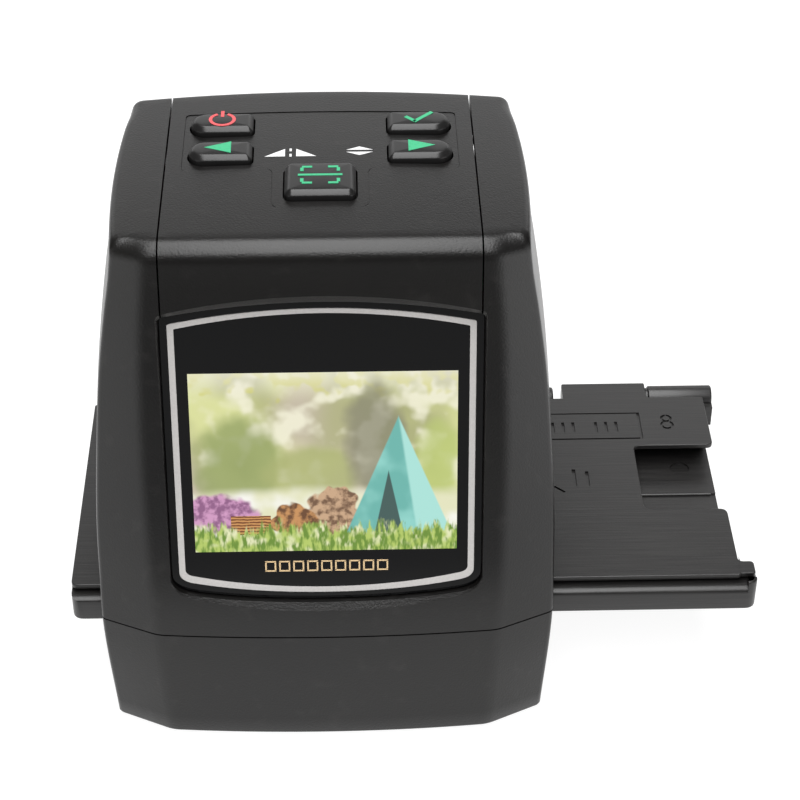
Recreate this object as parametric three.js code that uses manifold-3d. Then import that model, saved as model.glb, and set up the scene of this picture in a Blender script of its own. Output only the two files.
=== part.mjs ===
// Desktop film negative scanner, in millimetres: +X to the right, +Y to the back, +Z up.
// The origin is the middle of the underside of the case; the rubber feet reach a little below it.
import * as THREE from "three";
import { mergeVertices } from "three/addons/utils/BufferGeometryUtils.js";
import Module from "manifold-3d";

const wasm = await Module();
wasm.setup();

// Case
const caseWidth = 86;
const caseDepth = 84.4;
const caseHeight = 102;
const caseWall = 2;
const sideBulgeDepth = 0.9;
const frontBowDepth = 1.3;
const rearBowDepth = 1.2;
const crownAcrossHeight = 1.54;
const crownAlongHeight = 0.5;
const partingHeight = 24.9;
const seamGap = 0.3;
const bottomChamfer = 0.6;
const creaseRadius = 4;
const topSideRadius = 1.2;
const topRearRadius = 1.6;
const facetRadius = 1.6;
const sideEdgeRadius = 0.8;
const rearCornerReach = 2.5;
const cutOverrun = 30;
const meshTolerance = 0.02;
const pieceGap = 0.3;

// Top cover and the button recess in it
const coverWidthShare = 0.6412;
const coverLedgeWidth = 1.9;
const coverLedgeThickness = 1.2;
const coverRearDrop = 7;
const panelSideMargin = 2.75;
const panelLength = 32.4;
const panelWingDepth = 19.5;
const panelMiddleShare = 0.02488;
const panelNeckHalfWidth = 8.6;
const panelCornerRadius = 2;
const panelRecess = 0.25;

// Buttons
const sideButtonWidthShare = 0.4589;
const sideButtonDepth = 6;
const sideButtonPlaceShare = 0.7218;
const backRowMargin = 5;
const buttonRowPitch = 9.85;
const scanButtonWidthShare = 0.5057;
const scanButtonDepth = 10.3;
const scanButtonMargin = 7.45;
const scanCornerRadius = 1.4;
const squareEndRadius = 0.8;
const buttonProud = 1.95;
const buttonTravel = 0.6;
const buttonBevel = 1;
const buttonClearance = 0.3;
const flangeWidth = 0.9;
const flangeThickness = 0.9;
const stemRadius = 1.6;
const stemLength = 2.6;

// Screen window, on its leaning plane
const screenFootHeight = 30;
const screenFootDepth = 0.496;
const screenTopDepth = 1.779;
const browHeight = 14.541;
const windowWidthShare = 0.65349;
const windowTopCrown = 2.7;
const windowSideBottom = 5.5;
const windowBottom = 2.5;
const windowCornerRadius = 4;
const windowLeastRadius = 0.4;
const windowThickness = 1.2;
const windowGap = 0.25;
const trimMargin = 1.25;
const trimWidth = 1.25;
const trimDepth = 0.25;
const trimClearance = 0.05;
const bezelThickness = 1.5;
const bezelMargin = 2.2;
const flareStart = 1.2;
const flareDepth = 4;
const flareSide = 1;
const flareTop = 2.7;
const flareBottom = 5.2;

// Display module behind the window
const displaySideMargin = 1.9;
const displayTopMargin = 8.8;
const displayFoot = 7.1;
const displayThickness = 2.4;
const displayFrameThickness = 1.4;
const displayFrameBand = 4;

// Film holder and its slot
const holderLength = 130.6;
const holderCentreX = 16.6;
const holderFrontMargin = 13.7;
const holderBackMargin = 11.2;
const holderBottom = 18.5;
const holderFloor = 1.8;
const holderLipHeight = 5.2;
const holderLipWidth = 3.5;
const holderRimHeight = 5.7;
const holderEndWall = 1.6;
const holderEndInset = 3.4;
const holderCornerRadius = 2.2;
const holderToeWidth = 6.1;
const holderLugWidth = 3;
const filmChannel = 36;
const slotClearance = 0.6;
const lidThickness = 1;
const lidRise = 7;
const lidEndInset = 3.1;
const lidFrontInset = 2.2;
const lidTabReach = 2.9;
const lidTabInset = 0.4;
const lidTabWidth = 3.5;
const lidCornerRadius = 1.5;
const lidPlay = THREE.MathUtils.degToRad(1.2);
const lidNotchLength = 16.3;
const lidNotchWidth = 19.9;
const lidNotchOffset = 1.05;
const lidNotchRadius = 1.8;
const apertureWidth = 36;
const apertureDepth = 24;
const opticalY = 2;
const hingeOverhang = 0.8;
const hingeRise = 4.8;
const hingeRadius = 2.4;
const hingePinRadius = 0.7;
const hingeBoreRadius = 0.9;
const hingePinLength = 16;
const endBarrelLength = 13.5;
const endBarrelInset = 0.9;
const lidKnuckleLength = 17.6;
const knuckleGap = 0.5;
const knuckleNotch = 1.9;
const stubLength = 1.9;
const stubDrop = 0.2;
const stubClearance = 0.3;

// Light box under the film
const lightBoxWidth = 48;
const lightBoxDepth = 36;
const lightBoxWall = 1.5;
const diffuserThickness = 2;
const boardThickness = 1.2;
const ledSize = 3.5;
const ledHeight = 1.6;
const ledPitch = 20;
const railWidth = 3.4;

// Camera over the film
const chassisThickness = 1.6;
const chassisSeat = 2.1;
const chassisBackInset = 0.8;
const chassisTongue = 3;
const chassisTongueMargin = 6;
const chassisRibHeight = 2;
const hoodBaseWidth = 44;
const hoodBaseDepth = 32;
const hoodTopSize = 18;
const hoodWall = 1.3;
const lensHolderRadius = 7;
const lensHolderHeight = 10;
const lensBoreRadius = 4.8;
const lensRadius = 4.8;
const lensThickness = 4;
const sensorBoardSize = 24;
const sensorSize = 7.6;
const sensorHeight = 1;

// Electronics
const mainBoardSideMargin = 13;
const mainBoardFrontMargin = 32.2;
const boardSpacing = 7.13;
const sensorSpacing = 4.6;
const shelfLength = 24;
const shelfThickness = 1.3;
const shelfOverlap = 3;
const buttonBoardSideReach = 0.3;
const buttonBoardFrontReach = 0.7;
const buttonBoardBackReach = 0.5;
const switchSize = 6;
const switchBody = 3.5;
const plungerRadius = 1.5;
const plungerHeight = 0.9;
const boardPostRadius = 1.8;
const usbWidth = 8;
const usbHeight = 3.8;
const usbDepth = 9;
const usbX = -20;
const cardSlotWidth = 26;
const cardSlotHeight = 3.2;
const cardSlotSetback = 14.94;
const cardSlotX = 2;
const jackRadius = 3;
const jackBore = 1.8;
const jackDepth = 10;
const jackX = 22.5;
const portMargin = 0.4;
const portWall = 0.5;
const flexThickness = 0.3;

// Rear cover, feet and screws
const rearCoverSideMargin = 14;
const rearCoverBottom = 37;
const rearCoverRadius = 3;
const rearScrewSideInset = 4;
const rearScrewRise = 6;
const footRadius = 4.2;
const footDrop = 0.8;
const footPocket = 0.6;
const footSideInset = 12;
const footFrontInset = 13.2;
const footBackInset = 9.2;
const bossRadius = 2.9;
const frontBossSideInset = 19;
const frontBossFrontInset = 7.8;
const rearBossSideInset = 17;
const rearBossBackInset = 5.2;
const mainBossHeight = 9.1;
const screwRadius = 1.1;
const screwHeadRadius = 1.9;
const screwHeadHeight = 1.6;
const screwSeat = 7;
const springThickness = 0.3;
const springWidth = 5;
const springLength = 26;

// Outline of the case at several heights: shares of its height, half width and half depth
const caseSectionShares = [
  { height: 0, frontX: 0.702, frontY: -0.95, sideX: 0.947, sideY: -0.829, rearX: 0.93, rearY: 0.985 },
  { height: 0.244, frontX: 0.73, frontY: -0.943, sideX: 0.979, sideY: -0.829, rearX: 0.962, rearY: 0.971 },
  { height: 0.333, frontX: 0.742, frontY: -0.922, sideX: 0.977, sideY: -0.794, rearX: 0.96, rearY: 0.965 },
  { height: 0.441, frontX: 0.749, frontY: -0.87, sideX: 0.972, sideY: -0.751, rearX: 0.953, rearY: 0.945 },
  { height: 0.588, frontX: 0.754, frontY: -0.793, sideX: 0.949, sideY: -0.692, rearX: 0.932, rearY: 0.88 },
  { height: 0.735, frontX: 0.746, frontY: -0.717, sideX: 0.9178, sideY: -0.633, rearX: 0.8988, rearY: 0.785 },
  { height: 0.853, frontX: 0.732, frontY: -0.657, sideX: 0.878, sideY: -0.588, rearX: 0.86, rearY: 0.7 },
  { height: 0.922, frontX: 0.717, frontY: -0.622, sideX: 0.85, sideY: -0.559, rearX: 0.834, rearY: 0.65 },
  { height: 1, frontX: 0.702, frontY: -0.583, sideX: 0.83, sideY: -0.53, rearX: 0.812, rearY: 0.593 },
];

// Places that follow the case: each is a margin from its outside or from the piece beside it
const coverHalfWidth = (caseWidth / 2) * coverWidthShare;
const coverRearHeight = caseHeight - coverRearDrop;
const panelHalfWidth = coverHalfWidth - panelSideMargin;
const panelBack = caseDepth * panelMiddleShare + panelLength / 2;
const panelNeckFront = panelBack - panelLength;
const panelFront = panelBack - panelWingDepth;
const sideButtonX = panelHalfWidth * sideButtonPlaceShare;
const sideButtonWidth = panelHalfWidth * sideButtonWidthShare;
const scanButtonWidth = panelHalfWidth * scanButtonWidthShare;
const backRowY = panelBack - backRowMargin;
const frontRowY = backRowY - buttonRowPitch;
const scanButtonY = panelNeckFront + scanButtonMargin;
const screenTopHeight = caseHeight - browHeight;
const screenFootY = caseSection(screenFootHeight).frontY + screenFootDepth;
const screenTopY = caseSection(screenTopHeight).frontY + screenTopDepth;
const screenLean = Math.atan2(screenTopY - screenFootY, screenTopHeight - screenFootHeight);
const windowHalfWidth = (caseWidth / 2) * windowWidthShare;
const windowSideTop = (screenTopHeight - screenFootHeight) / Math.cos(screenLean);
const windowTop = windowSideTop + windowTopCrown;
const displayWidth = windowHalfWidth * 2 - displaySideMargin * 2;
const displayHeight = windowSideTop - displayTopMargin - displayFoot;
const displayMiddle = displayFoot + displayHeight / 2;
const holderFront = -caseDepth / 2 + holderFrontMargin;
const holderBack = caseDepth / 2 - holderBackMargin;
const holderLipBack = holderFront + holderLipWidth;
const holderToeBack = holderFront + holderToeWidth;
const holderLugFront = holderBack - holderLugWidth;
const hingeY = holderBack + hingeOverhang;
const hingeHeight = holderBottom + hingeRise;
const lidTop = holderBottom + lidRise;
const lidFront = holderFront + lidFrontInset;
const lidTabFront = lidFront + lidTabInset;
const lidTabBack = lidTabFront + lidTabWidth;
const lidNotchFront = opticalY + lidNotchOffset - lidNotchWidth / 2;
const lidNotchBack = lidNotchFront + lidNotchWidth;
const stubHeight = lidTop - stubDrop;
const stubBack = lidFront - stubClearance;
const rearCoverHalfWidth = caseWidth / 2 - rearCoverSideMargin;
const rearScrewX = rearCoverHalfWidth - rearScrewSideInset;
const rearScrewHeight = rearCoverBottom + rearScrewRise;
const mainBossTop = partingHeight + mainBossHeight;

// Heights under the buttons, worked out from the top of the case down to the optics
const coverUnderside = topHeight(panelHalfWidth, panelBack) - caseWall;
const flangeTop = coverUnderside - pieceGap;
const flangeBottom = flangeTop - flangeThickness;
const stemBottom = flangeBottom - stemLength;
const plungerTop = stemBottom - buttonTravel - pieceGap / 2;
const switchTop = plungerTop - plungerHeight;
const buttonBoardTop = switchTop - switchBody - pieceGap / 3;
const buttonBoardWidth = panelHalfWidth * 2 + buttonBoardSideReach * 2;
const buttonBoardFront = panelNeckFront - buttonBoardFrontReach;
const buttonBoardBack = panelBack + buttonBoardBackReach;
const mainBoardWidth = caseWidth - mainBoardSideMargin * 2;
const mainBoardFront = -caseDepth / 2 + mainBoardFrontMargin;
const mainBoardHeight = buttonBoardTop - boardThickness * 2 - boardSpacing;
const sensorBoardBottom = mainBoardHeight - sensorSpacing - boardThickness;
const lensHolderBottom = sensorBoardBottom - pieceGap / 3 - lensHolderHeight;
const hoodTop = lensHolderBottom - pieceGap / 3;

// Solids from three.js geometry, joined and cut with manifold-3d
function solidOf(geometry) {
  const bare = geometry.index ? geometry.toNonIndexed() : geometry.clone();
  bare.deleteAttribute("normal");
  bare.deleteAttribute("uv");
  const merged = mergeVertices(bare, 1e-4);
  return new wasm.Manifold(
    new wasm.Mesh({
      numProp: 3,
      vertProperties: new Float32Array(merged.attributes.position.array),
      triVerts: new Uint32Array(merged.index.array),
    }),
  );
}

function geometryOf(solid) {
  const mesh = solid.getMesh();
  const geometry = new THREE.BufferGeometry();
  geometry.setAttribute("position", new THREE.BufferAttribute(new Float32Array(mesh.vertProperties), 3));
  geometry.setIndex(new THREE.BufferAttribute(new Uint32Array(mesh.triVerts), 1));
  geometry.computeVertexNormals();
  return geometry;
}

// A block between two corners.
function block(x0, x1, y0, y1, z0, z1) {
  const geometry = new THREE.BoxGeometry(x1 - x0, y1 - y0, z1 - z0);
  return solidOf(geometry.translate((x0 + x1) / 2, (y0 + y1) / 2, (z0 + z1) / 2));
}

// An upright round bar.
function post(x, y, z0, z1, radius, sides = 16) {
  const geometry = new THREE.CylinderGeometry(radius, radius, z1 - z0, sides).rotateX(Math.PI / 2);
  return solidOf(geometry.translate(x, y, (z0 + z1) / 2));
}

// A round bar lying along X.
function barAlongX(x0, x1, y, z, radius, sides = 16) {
  const geometry = new THREE.CylinderGeometry(radius, radius, x1 - x0, sides).rotateZ(Math.PI / 2);
  return solidOf(geometry.translate((x0 + x1) / 2, y, z));
}

// A round bar lying along Y.
function barAlongY(x, y0, y1, z, radius, sides = 16) {
  const geometry = new THREE.CylinderGeometry(radius, radius, y1 - y0, sides);
  return solidOf(geometry.translate(x, (y0 + y1) / 2, z));
}

// An upright prism on a THREE.Shape in plan.
function prism(shape, z0, z1, curveSegments = 5) {
  const geometry = new THREE.ExtrudeGeometry(shape, { depth: z1 - z0, bevelEnabled: false, curveSegments });
  return solidOf(geometry.translate(0, 0, z0));
}

// A rectangle in plan with a radius for each end: x0 side and x1 side.
function roundedRectangle(x0, x1, y0, y1, leftRadius, rightRadius) {
  const shape = new THREE.Shape();
  shape.moveTo(x0 + leftRadius, y0);
  shape.lineTo(x1 - rightRadius, y0);
  shape.absarc(x1 - rightRadius, y0 + rightRadius, rightRadius, -Math.PI / 2, 0, false);
  shape.lineTo(x1, y1 - rightRadius);
  shape.absarc(x1 - rightRadius, y1 - rightRadius, rightRadius, 0, Math.PI / 2, false);
  shape.lineTo(x0 + leftRadius, y1);
  shape.absarc(x0 + leftRadius, y1 - leftRadius, leftRadius, Math.PI / 2, Math.PI, false);
  shape.lineTo(x0, y0 + leftRadius);
  shape.absarc(x0 + leftRadius, y0 + leftRadius, leftRadius, Math.PI, Math.PI * 1.5, false);
  return shape;
}

// A closed skin through rings with equal counts of points, with a fan at each end.
function skin(rings) {
  const count = rings[0].length;
  const middleOf = (ring) =>
    ring.reduce((sum, point) => sum.add(point), new THREE.Vector3()).divideScalar(ring.length);
  const points = [...rings.flat(), middleOf(rings[0]), middleOf(rings[rings.length - 1])];
  const faces = [];
  for (let level = 0; level + 1 < rings.length; level += 1) {
    for (let i = 0; i < count; i += 1) {
      const a = level * count + i;
      const b = level * count + ((i + 1) % count);
      faces.push(a, b, b + count, a, b + count, a + count);
    }
  }
  const last = (rings.length - 1) * count;
  for (let i = 0; i < count; i += 1) {
    faces.push((i + 1) % count, i, points.length - 2);
    faces.push(last + i, last + ((i + 1) % count), points.length - 1);
  }
  const geometry = new THREE.BufferGeometry().setFromPoints(points);
  geometry.setIndex(faces);
  return solidOf(geometry);
}

// Points that round off a corner, from `reach` before it to `reach` after it.
function softCorner(before, corner, after, reach, steps) {
  const start = corner.clone().add(before.clone().sub(corner).setLength(reach));
  const end = corner.clone().add(after.clone().sub(corner).setLength(reach));
  return new THREE.QuadraticBezierCurve(start, corner, end).getPoints(steps);
}

// The case sizes at a height, between the two nearest rows of the table.
function caseSection(z) {
  const share = THREE.MathUtils.clamp(z / caseHeight, 0, 1);
  const next = Math.max(1, caseSectionShares.findIndex((row) => row.height >= share));
  const low = caseSectionShares[next - 1];
  const high = caseSectionShares[next];
  const blend = (share - low.height) / (high.height - low.height);
  const between = (key) => THREE.MathUtils.lerp(low[key], high[key], blend);
  return {
    frontX: (between("frontX") * caseWidth) / 2,
    frontY: (between("frontY") * caseDepth) / 2,
    sideX: (between("sideX") * caseWidth) / 2,
    sideY: (between("sideY") * caseDepth) / 2,
    rearX: (between("rearX") * caseWidth) / 2,
    rearY: (between("rearY") * caseDepth) / 2,
  };
}

// Half of the case outline in plan at height z, from the front middle to the back middle.
// `inset` moves every wall inwards. Each point also says which top edge it runs under.
function halfOutline(z, inset) {
  const section = caseSection(z);
  const frontCorner = new THREE.Vector2(section.frontX - inset * 0.35, section.frontY + inset);
  const sideCorner = new THREE.Vector2(section.sideX - inset, section.sideY + inset * 0.6);
  const rearSide = new THREE.Vector2(section.rearX - inset, section.rearY - rearCornerReach);
  const rearCorner = new THREE.Vector2(section.rearX - inset, section.rearY - inset);
  const rearMiddle = new THREE.Vector2(0, section.rearY - inset);
  const outline = [];
  const add = (points, edge) => points.forEach((point) => outline.push({ x: point.x, y: point.y, edge }));
  const bowedFront = (x) => frontCorner.y - frontBowDepth * (1 - (x / frontCorner.x) ** 2);
  const frontShares = [0, 0.3, 0.6, 0.82];
  add(
    frontShares.map((share) => new THREE.Vector2(frontCorner.x * share, bowedFront(frontCorner.x * share))),
    "front",
  );
  const beforeFront = new THREE.Vector2(frontCorner.x * 0.82, bowedFront(frontCorner.x * 0.82));
  add(softCorner(beforeFront, frontCorner, sideCorner, facetRadius, 3), "front");
  const sideMiddle = sideCorner.clone().add(rearSide).multiplyScalar(0.5);
  sideMiddle.x = Math.max(sideCorner.x, rearSide.x) + sideBulgeDepth;
  const side = new THREE.QuadraticBezierCurve(
    sideCorner,
    sideMiddle.clone().multiplyScalar(2).sub(sideCorner.clone().add(rearSide).multiplyScalar(0.5)),
    rearSide,
  ).getPoints(6);
  add(softCorner(frontCorner, sideCorner, side[1], sideEdgeRadius, 2).slice(0, 2), "front");
  add(softCorner(frontCorner, sideCorner, side[1], sideEdgeRadius, 2).slice(2), "side");
  add(side.slice(1, -1), "side");
  const reach = rearCornerReach - inset;
  add(softCorner(rearSide, rearCorner, rearMiddle, reach, 4), "rear");
  const rearStart = rearCorner.x - reach;
  const bowedRear = (x) => rearCorner.y + rearBowDepth * (1 - (x / rearStart) ** 2);
  add(
    [0.66, 0.33, 0].map((share) => new THREE.Vector2(rearStart * share, bowedRear(rearStart * share))),
    "rear",
  );
  return outline;
}

function topHeight(x, y) {
  const across = ((2 * x) / caseWidth) ** 2;
  const along = ((2 * y) / caseDepth) ** 2;
  return caseHeight - crownAcrossHeight * across - crownAlongHeight * along;
}

function mirrored(half) {
  const left = half.slice(1, -1).reverse().map((point) => point.clone().setX(-point.x));
  return [...half, ...left];
}

// The solid outer form of the case, or its inside when `inset` is the wall.
function caseForm(inset) {
  const rings = [];
  const foot = inset > 0 ? inset : 0;
  const ringAt = (z, extra = 0) =>
    mirrored(halfOutline(z, inset + extra).map((point) => new THREE.Vector3(point.x, point.y, z)));
  rings.push(ringAt(foot, bottomChamfer));
  rings.push(ringAt(foot + bottomChamfer));
  caseSectionShares
    .map((row) => row.height * caseHeight)
    .filter((z) => z > foot + bottomChamfer && z < caseHeight * 0.94)
    .forEach((z) => rings.push(ringAt(z)));
  const radiusUnder = { front: creaseRadius, side: topSideRadius, rear: topRearRadius };
  const steps = 4;
  let edge = [];
  for (let step = 0; step <= steps; step += 1) {
    const angle = (step / steps) * (Math.PI / 2);
    const roots = halfOutline(caseHeight - creaseRadius, inset);
    edge = roots.map((root, index) => {
      const radius = Math.max(radiusUnder[root.edge] - inset, topSideRadius / 2);
      const high = halfOutline(
        topHeight(root.x, root.y) - radius,
        inset + radius * (1 - Math.cos(angle)),
      )[index];
      const z = topHeight(high.x, high.y) - inset - radius * (1 - Math.sin(angle));
      return new THREE.Vector3(high.x, high.y, z);
    });
    rings.push(mirrored(edge));
  }
  const middleY = (edge[0].y + edge[edge.length - 1].y) / 2;
  [0.7, 0.35].forEach((share) => {
    const ring = edge.map((point) => {
      const x = point.x * share;
      const y = middleY + (point.y - middleY) * share;
      return new THREE.Vector3(x, y, topHeight(x, y) - inset);
    });
    rings.push(mirrored(ring));
  });
  return skin(rings);
}

// The screen plane: local X across, local Y up the face, local Z out of it
const screenMatrix = new THREE.Matrix4()
  .makeTranslation(0, screenFootY, screenFootHeight)
  .multiply(new THREE.Matrix4().makeRotationX(Math.PI / 2 - screenLean));

// The window outline, grown outwards by `grow`, or by its own amount on each side.
function windowShape(grow, growTop = grow, growBottom = grow) {
  const half = windowHalfWidth + grow;
  const sideTop = windowSideTop + growTop;
  const top = windowTop + growTop;
  const sideBottom = windowSideBottom - growBottom;
  const bottom = windowBottom - growBottom;
  const radius = Math.max(windowCornerRadius + grow, windowLeastRadius);
  const shape = new THREE.Shape();
  shape.moveTo(half, sideBottom + radius * 0.55);
  shape.lineTo(half, sideTop);
  shape.quadraticCurveTo(half * 0.5, top, 0, top);
  shape.quadraticCurveTo(-half * 0.5, top, -half, sideTop);
  shape.lineTo(-half, sideBottom + radius * 0.55);
  shape.quadraticCurveTo(-half, sideBottom - radius * 0.12, -half + radius, sideBottom - radius * 0.3);
  shape.quadraticCurveTo(-half * 0.5, bottom, 0, bottom);
  shape.quadraticCurveTo(half * 0.5, bottom, half - radius, sideBottom - radius * 0.3);
  shape.quadraticCurveTo(half, sideBottom - radius * 0.12, half, sideBottom + radius * 0.55);
  return shape;
}

// A plate on the screen plane, between two distances out of it.
function screenPlate(shape, out0, out1, curveSegments = 6) {
  const geometry = new THREE.ExtrudeGeometry(
    shape,
    { depth: out1 - out0, bevelEnabled: false, curveSegments },
  );
  return solidOf(geometry.translate(0, 0, out0).applyMatrix4(screenMatrix));
}

function rectangle(x0, x1, y0, y1) {
  return new THREE.Shape([
    new THREE.Vector2(x0, y0),
    new THREE.Vector2(x1, y0),
    new THREE.Vector2(x1, y1),
    new THREE.Vector2(x0, y1),
  ]);
}

// The bevelled surround of the window: the window outline opening outwards.
function windowFlare() {
  const inner = windowShape(windowGap).getPoints(6);
  const outer = windowShape(
    windowGap + flareSide,
    windowGap + flareTop,
    windowGap + flareBottom,
  ).getPoints(6);
  const lift = (points, out) => points.map(
    (point) => new THREE.Vector3(point.x, point.y, out).applyMatrix4(screenMatrix),
  );
  const open = (points) => points.slice(0, -1);
  return skin([lift(open(inner), flareStart), lift(open(outer), flareDepth)]);
}

const outerForm = caseForm(0);
const innerForm = caseForm(caseWall);
const caseShell = outerForm.subtract(innerForm);
const windowPocket = screenPlate(windowShape(windowGap), -windowThickness - pieceGap / 2, flareDepth * 2);
const windowSurround = windowFlare();
const slotFront = holderFront - slotClearance;
const slotBack = hingeY + hingeRadius + slotClearance;
const slotBottom = holderBottom - slotClearance;
const slotTop = lidTop + (hingeY - lidFront) * Math.sin(lidPlay) + slotClearance;
const slotCut = block(-caseWidth, caseWidth, slotFront, slotBack, slotBottom, slotTop);

// Screw places: front pair, then rear pair
const frontBoss = [caseWidth / 2 - frontBossSideInset, -caseDepth / 2 + frontBossFrontInset];
const rearBoss = [caseWidth / 2 - rearBossSideInset, caseDepth / 2 - rearBossBackInset];
const chassisTongueHalfWidth = rearBoss[0] - chassisTongueMargin;
const bossPlaces = [frontBoss, rearBoss].flatMap(([x, y]) => [
  [-x, y],
  [x, y],
]);

function baseHousing() {
  let solid = caseShell.intersect(
    block(-caseWidth, caseWidth, -caseDepth, caseDepth, -cutOverrun, partingHeight),
  );
  const rail = (y0, y1) => block(
    -caseWidth / 2 + caseWall * 3,
    caseWidth / 2 - caseWall * 3,
    y0,
    y1,
    caseWall / 2,
    slotBottom,
  );
  solid = solid.add(rail(slotFront, slotFront + railWidth)).add(rail(slotBack - railWidth, slotBack));
  const fence = innerForm
    .intersect(block(-caseWidth, caseWidth, slotFront - caseWall, slotFront, caseWall / 2, partingHeight))
    .intersect(
      block(
        -caseWidth / 2 + caseWall * 3,
        caseWidth / 2 - caseWall * 3,
        -caseDepth,
        caseDepth,
        0,
        caseHeight,
      ),
    );
  solid = solid.add(fence);
  for (const [x, y] of bossPlaces) {
    solid = solid.add(post(x, y, caseWall / 2, partingHeight, bossRadius).intersect(outerForm));
  }
  solid = solid.subtract(slotCut);
  for (const [x, y] of bossPlaces) {
    solid = solid.subtract(post(x, y, -cutOverrun, screwSeat, screwHeadRadius + pieceGap));
    solid = solid.subtract(post(x, y, 0, partingHeight + cutOverrun, screwRadius + pieceGap));
  }
  for (const [x, y] of footPlaces()) {
    solid = solid.subtract(post(x, y, -cutOverrun, footPocket, footRadius + pieceGap));
  }
  return solid;
}

function footPlaces() {
  const x = caseWidth / 2 - footSideInset;
  return [-caseDepth / 2 + footFrontInset, caseDepth / 2 - footBackInset].flatMap((y) => [
    [-x, y],
    [x, y],
  ]);
}

// The frame round the window: it joins the case wall and carries the window on its back ledge.
function bezelFrame() {
  const back = -windowThickness - pieceGap / 2;
  const plate = screenPlate(windowShape(bezelMargin), back - bezelThickness, flareDepth);
  const opening = rectangle(
    -displayWidth / 2 - pieceGap,
    displayWidth / 2 + pieceGap,
    displayMiddle - displayHeight / 2 - pieceGap,
    displayMiddle + displayHeight / 2 + pieceGap,
  );
  return plate.subtract(screenPlate(opening, back - cutOverrun, back + cutOverrun));
}

function coverRegion(halfWidth, rearHeight) {
  const overTop = block(-halfWidth, halfWidth, 0, caseDepth, rearHeight, caseHeight + cutOverrun);
  const front = block(-halfWidth, halfWidth, -caseDepth, 0, windowRegionHeight(), caseHeight + cutOverrun);
  return overTop.add(front);
}

// A height behind the top of the window, so that the cover starts inside the window's pocket.
function windowRegionHeight() {
  return screenFootHeight + Math.cos(screenLean) * windowSideTop - caseWall / 2;
}

// Ledges on the main housing that carry the long edges of the top cover.
function coverLedges() {
  const under = caseForm(caseWall + pieceGap).subtract(caseForm(caseWall + pieceGap + coverLedgeThickness));
  const root = caseForm(caseWall / 2).subtract(caseForm(caseWall + pieceGap + coverLedgeThickness));
  const outer = coverHalfWidth + seamGap;
  let ledges = null;
  for (const side of [-1, 1]) {
    const span = (a, b) =>
      block(
        Math.min(side * a, side * b),
        Math.max(side * a, side * b),
        -caseDepth / 5,
        caseDepth / 4,
        caseHeight - creaseRadius * 2,
        caseHeight,
      );
    const piece = under.intersect(
      span(outer - coverLedgeWidth, outer + coverLedgeWidth),
    ).add(root.intersect(span(outer, outer + coverLedgeWidth)));
    ledges = ledges ? ledges.add(piece) : piece;
  }
  return ledges;
}

function mainHousing() {
  let solid = caseShell.intersect(
    block(-caseWidth, caseWidth, -caseDepth, caseDepth, partingHeight + seamGap, caseHeight + cutOverrun),
  );
  solid = solid.subtract(coverRegion(coverHalfWidth + seamGap, coverRearHeight));
  solid = solid.add(
    bezelFrame().intersect(caseForm(caseWall / 2)).subtract(
      coverRegion(coverHalfWidth + seamGap, coverRearHeight),
    ),
  );
  solid = solid.add(coverLedges());
  for (const [x, y] of bossPlaces) {
    solid = solid.add(
      post(x, y, partingHeight + seamGap, mainBossTop, bossRadius).intersect(caseForm(caseWall / 2)),
    );
  }
  const ribTop = slotTop + pieceGap * 0.7;
  const frontRib = block(
    -caseWidth / 4,
    caseWidth / 4,
    -caseDepth,
    slotFront - pieceGap,
    ribTop - chassisRibHeight,
    ribTop,
  );
  const backRib = block(
    -chassisTongueHalfWidth,
    chassisTongueHalfWidth,
    slotBack + pieceGap * 2,
    caseDepth,
    ribTop - chassisRibHeight,
    ribTop,
  );
  solid = solid.add(frontRib.add(backRib).intersect(caseForm(caseWall / 2)));
  for (const side of [-1, 1]) {
    const shelf = block(
      Math.min(side * (mainBoardWidth / 2 - shelfOverlap), (side * caseWidth) / 2),
      Math.max(side * (mainBoardWidth / 2 - shelfOverlap), (side * caseWidth) / 2),
      mainBoardFront + shelfOverlap,
      mainBoardFront + shelfOverlap + shelfLength,
      mainBoardHeight - pieceGap - shelfThickness,
      mainBoardHeight - pieceGap,
    );
    solid = solid.add(shelf.intersect(caseForm(caseWall / 2)));
  }
  solid = solid.subtract(slotCut).subtract(
    rearOpening(seamGap),
  ).subtract(windowSurround).subtract(windowPocket);
  for (const [x, y] of bossPlaces) {
    solid = solid.subtract(post(x, y, 0, mainBossTop - caseWall, screwRadius + pieceGap));
  }
  return solid;
}

// The rounded opening in the back that the rear cover fills.
function rearOpening(grow) {
  const shape = roundedRectangle(
    -rearCoverHalfWidth - grow,
    rearCoverHalfWidth + grow,
    rearCoverBottom - grow,
    coverRearHeight - seamGap * 2 - caseWall + grow,
    rearCoverRadius,
    rearCoverRadius,
  );
  const geometry = new THREE.ExtrudeGeometry(
    shape,
    { depth: caseDepth, bevelEnabled: false, curveSegments: 3 },
  );
  return solidOf(geometry.rotateX(Math.PI / 2).translate(0, caseDepth, 0)).intersect(
    block(-caseWidth, caseWidth, caseDepth / 8, caseDepth, 0, caseHeight),
  );
}

// The inner face of the rear wall at a height.
function rearInside(z) {
  return caseSection(z).rearY - caseWall;
}

const portHeight = mainBoardHeight + boardThickness;
const portFace = rearInside(portHeight + jackRadius * 2) - pieceGap;
const cardSlotDepth = portFace - mainBoardFront - cardSlotSetback;

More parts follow.
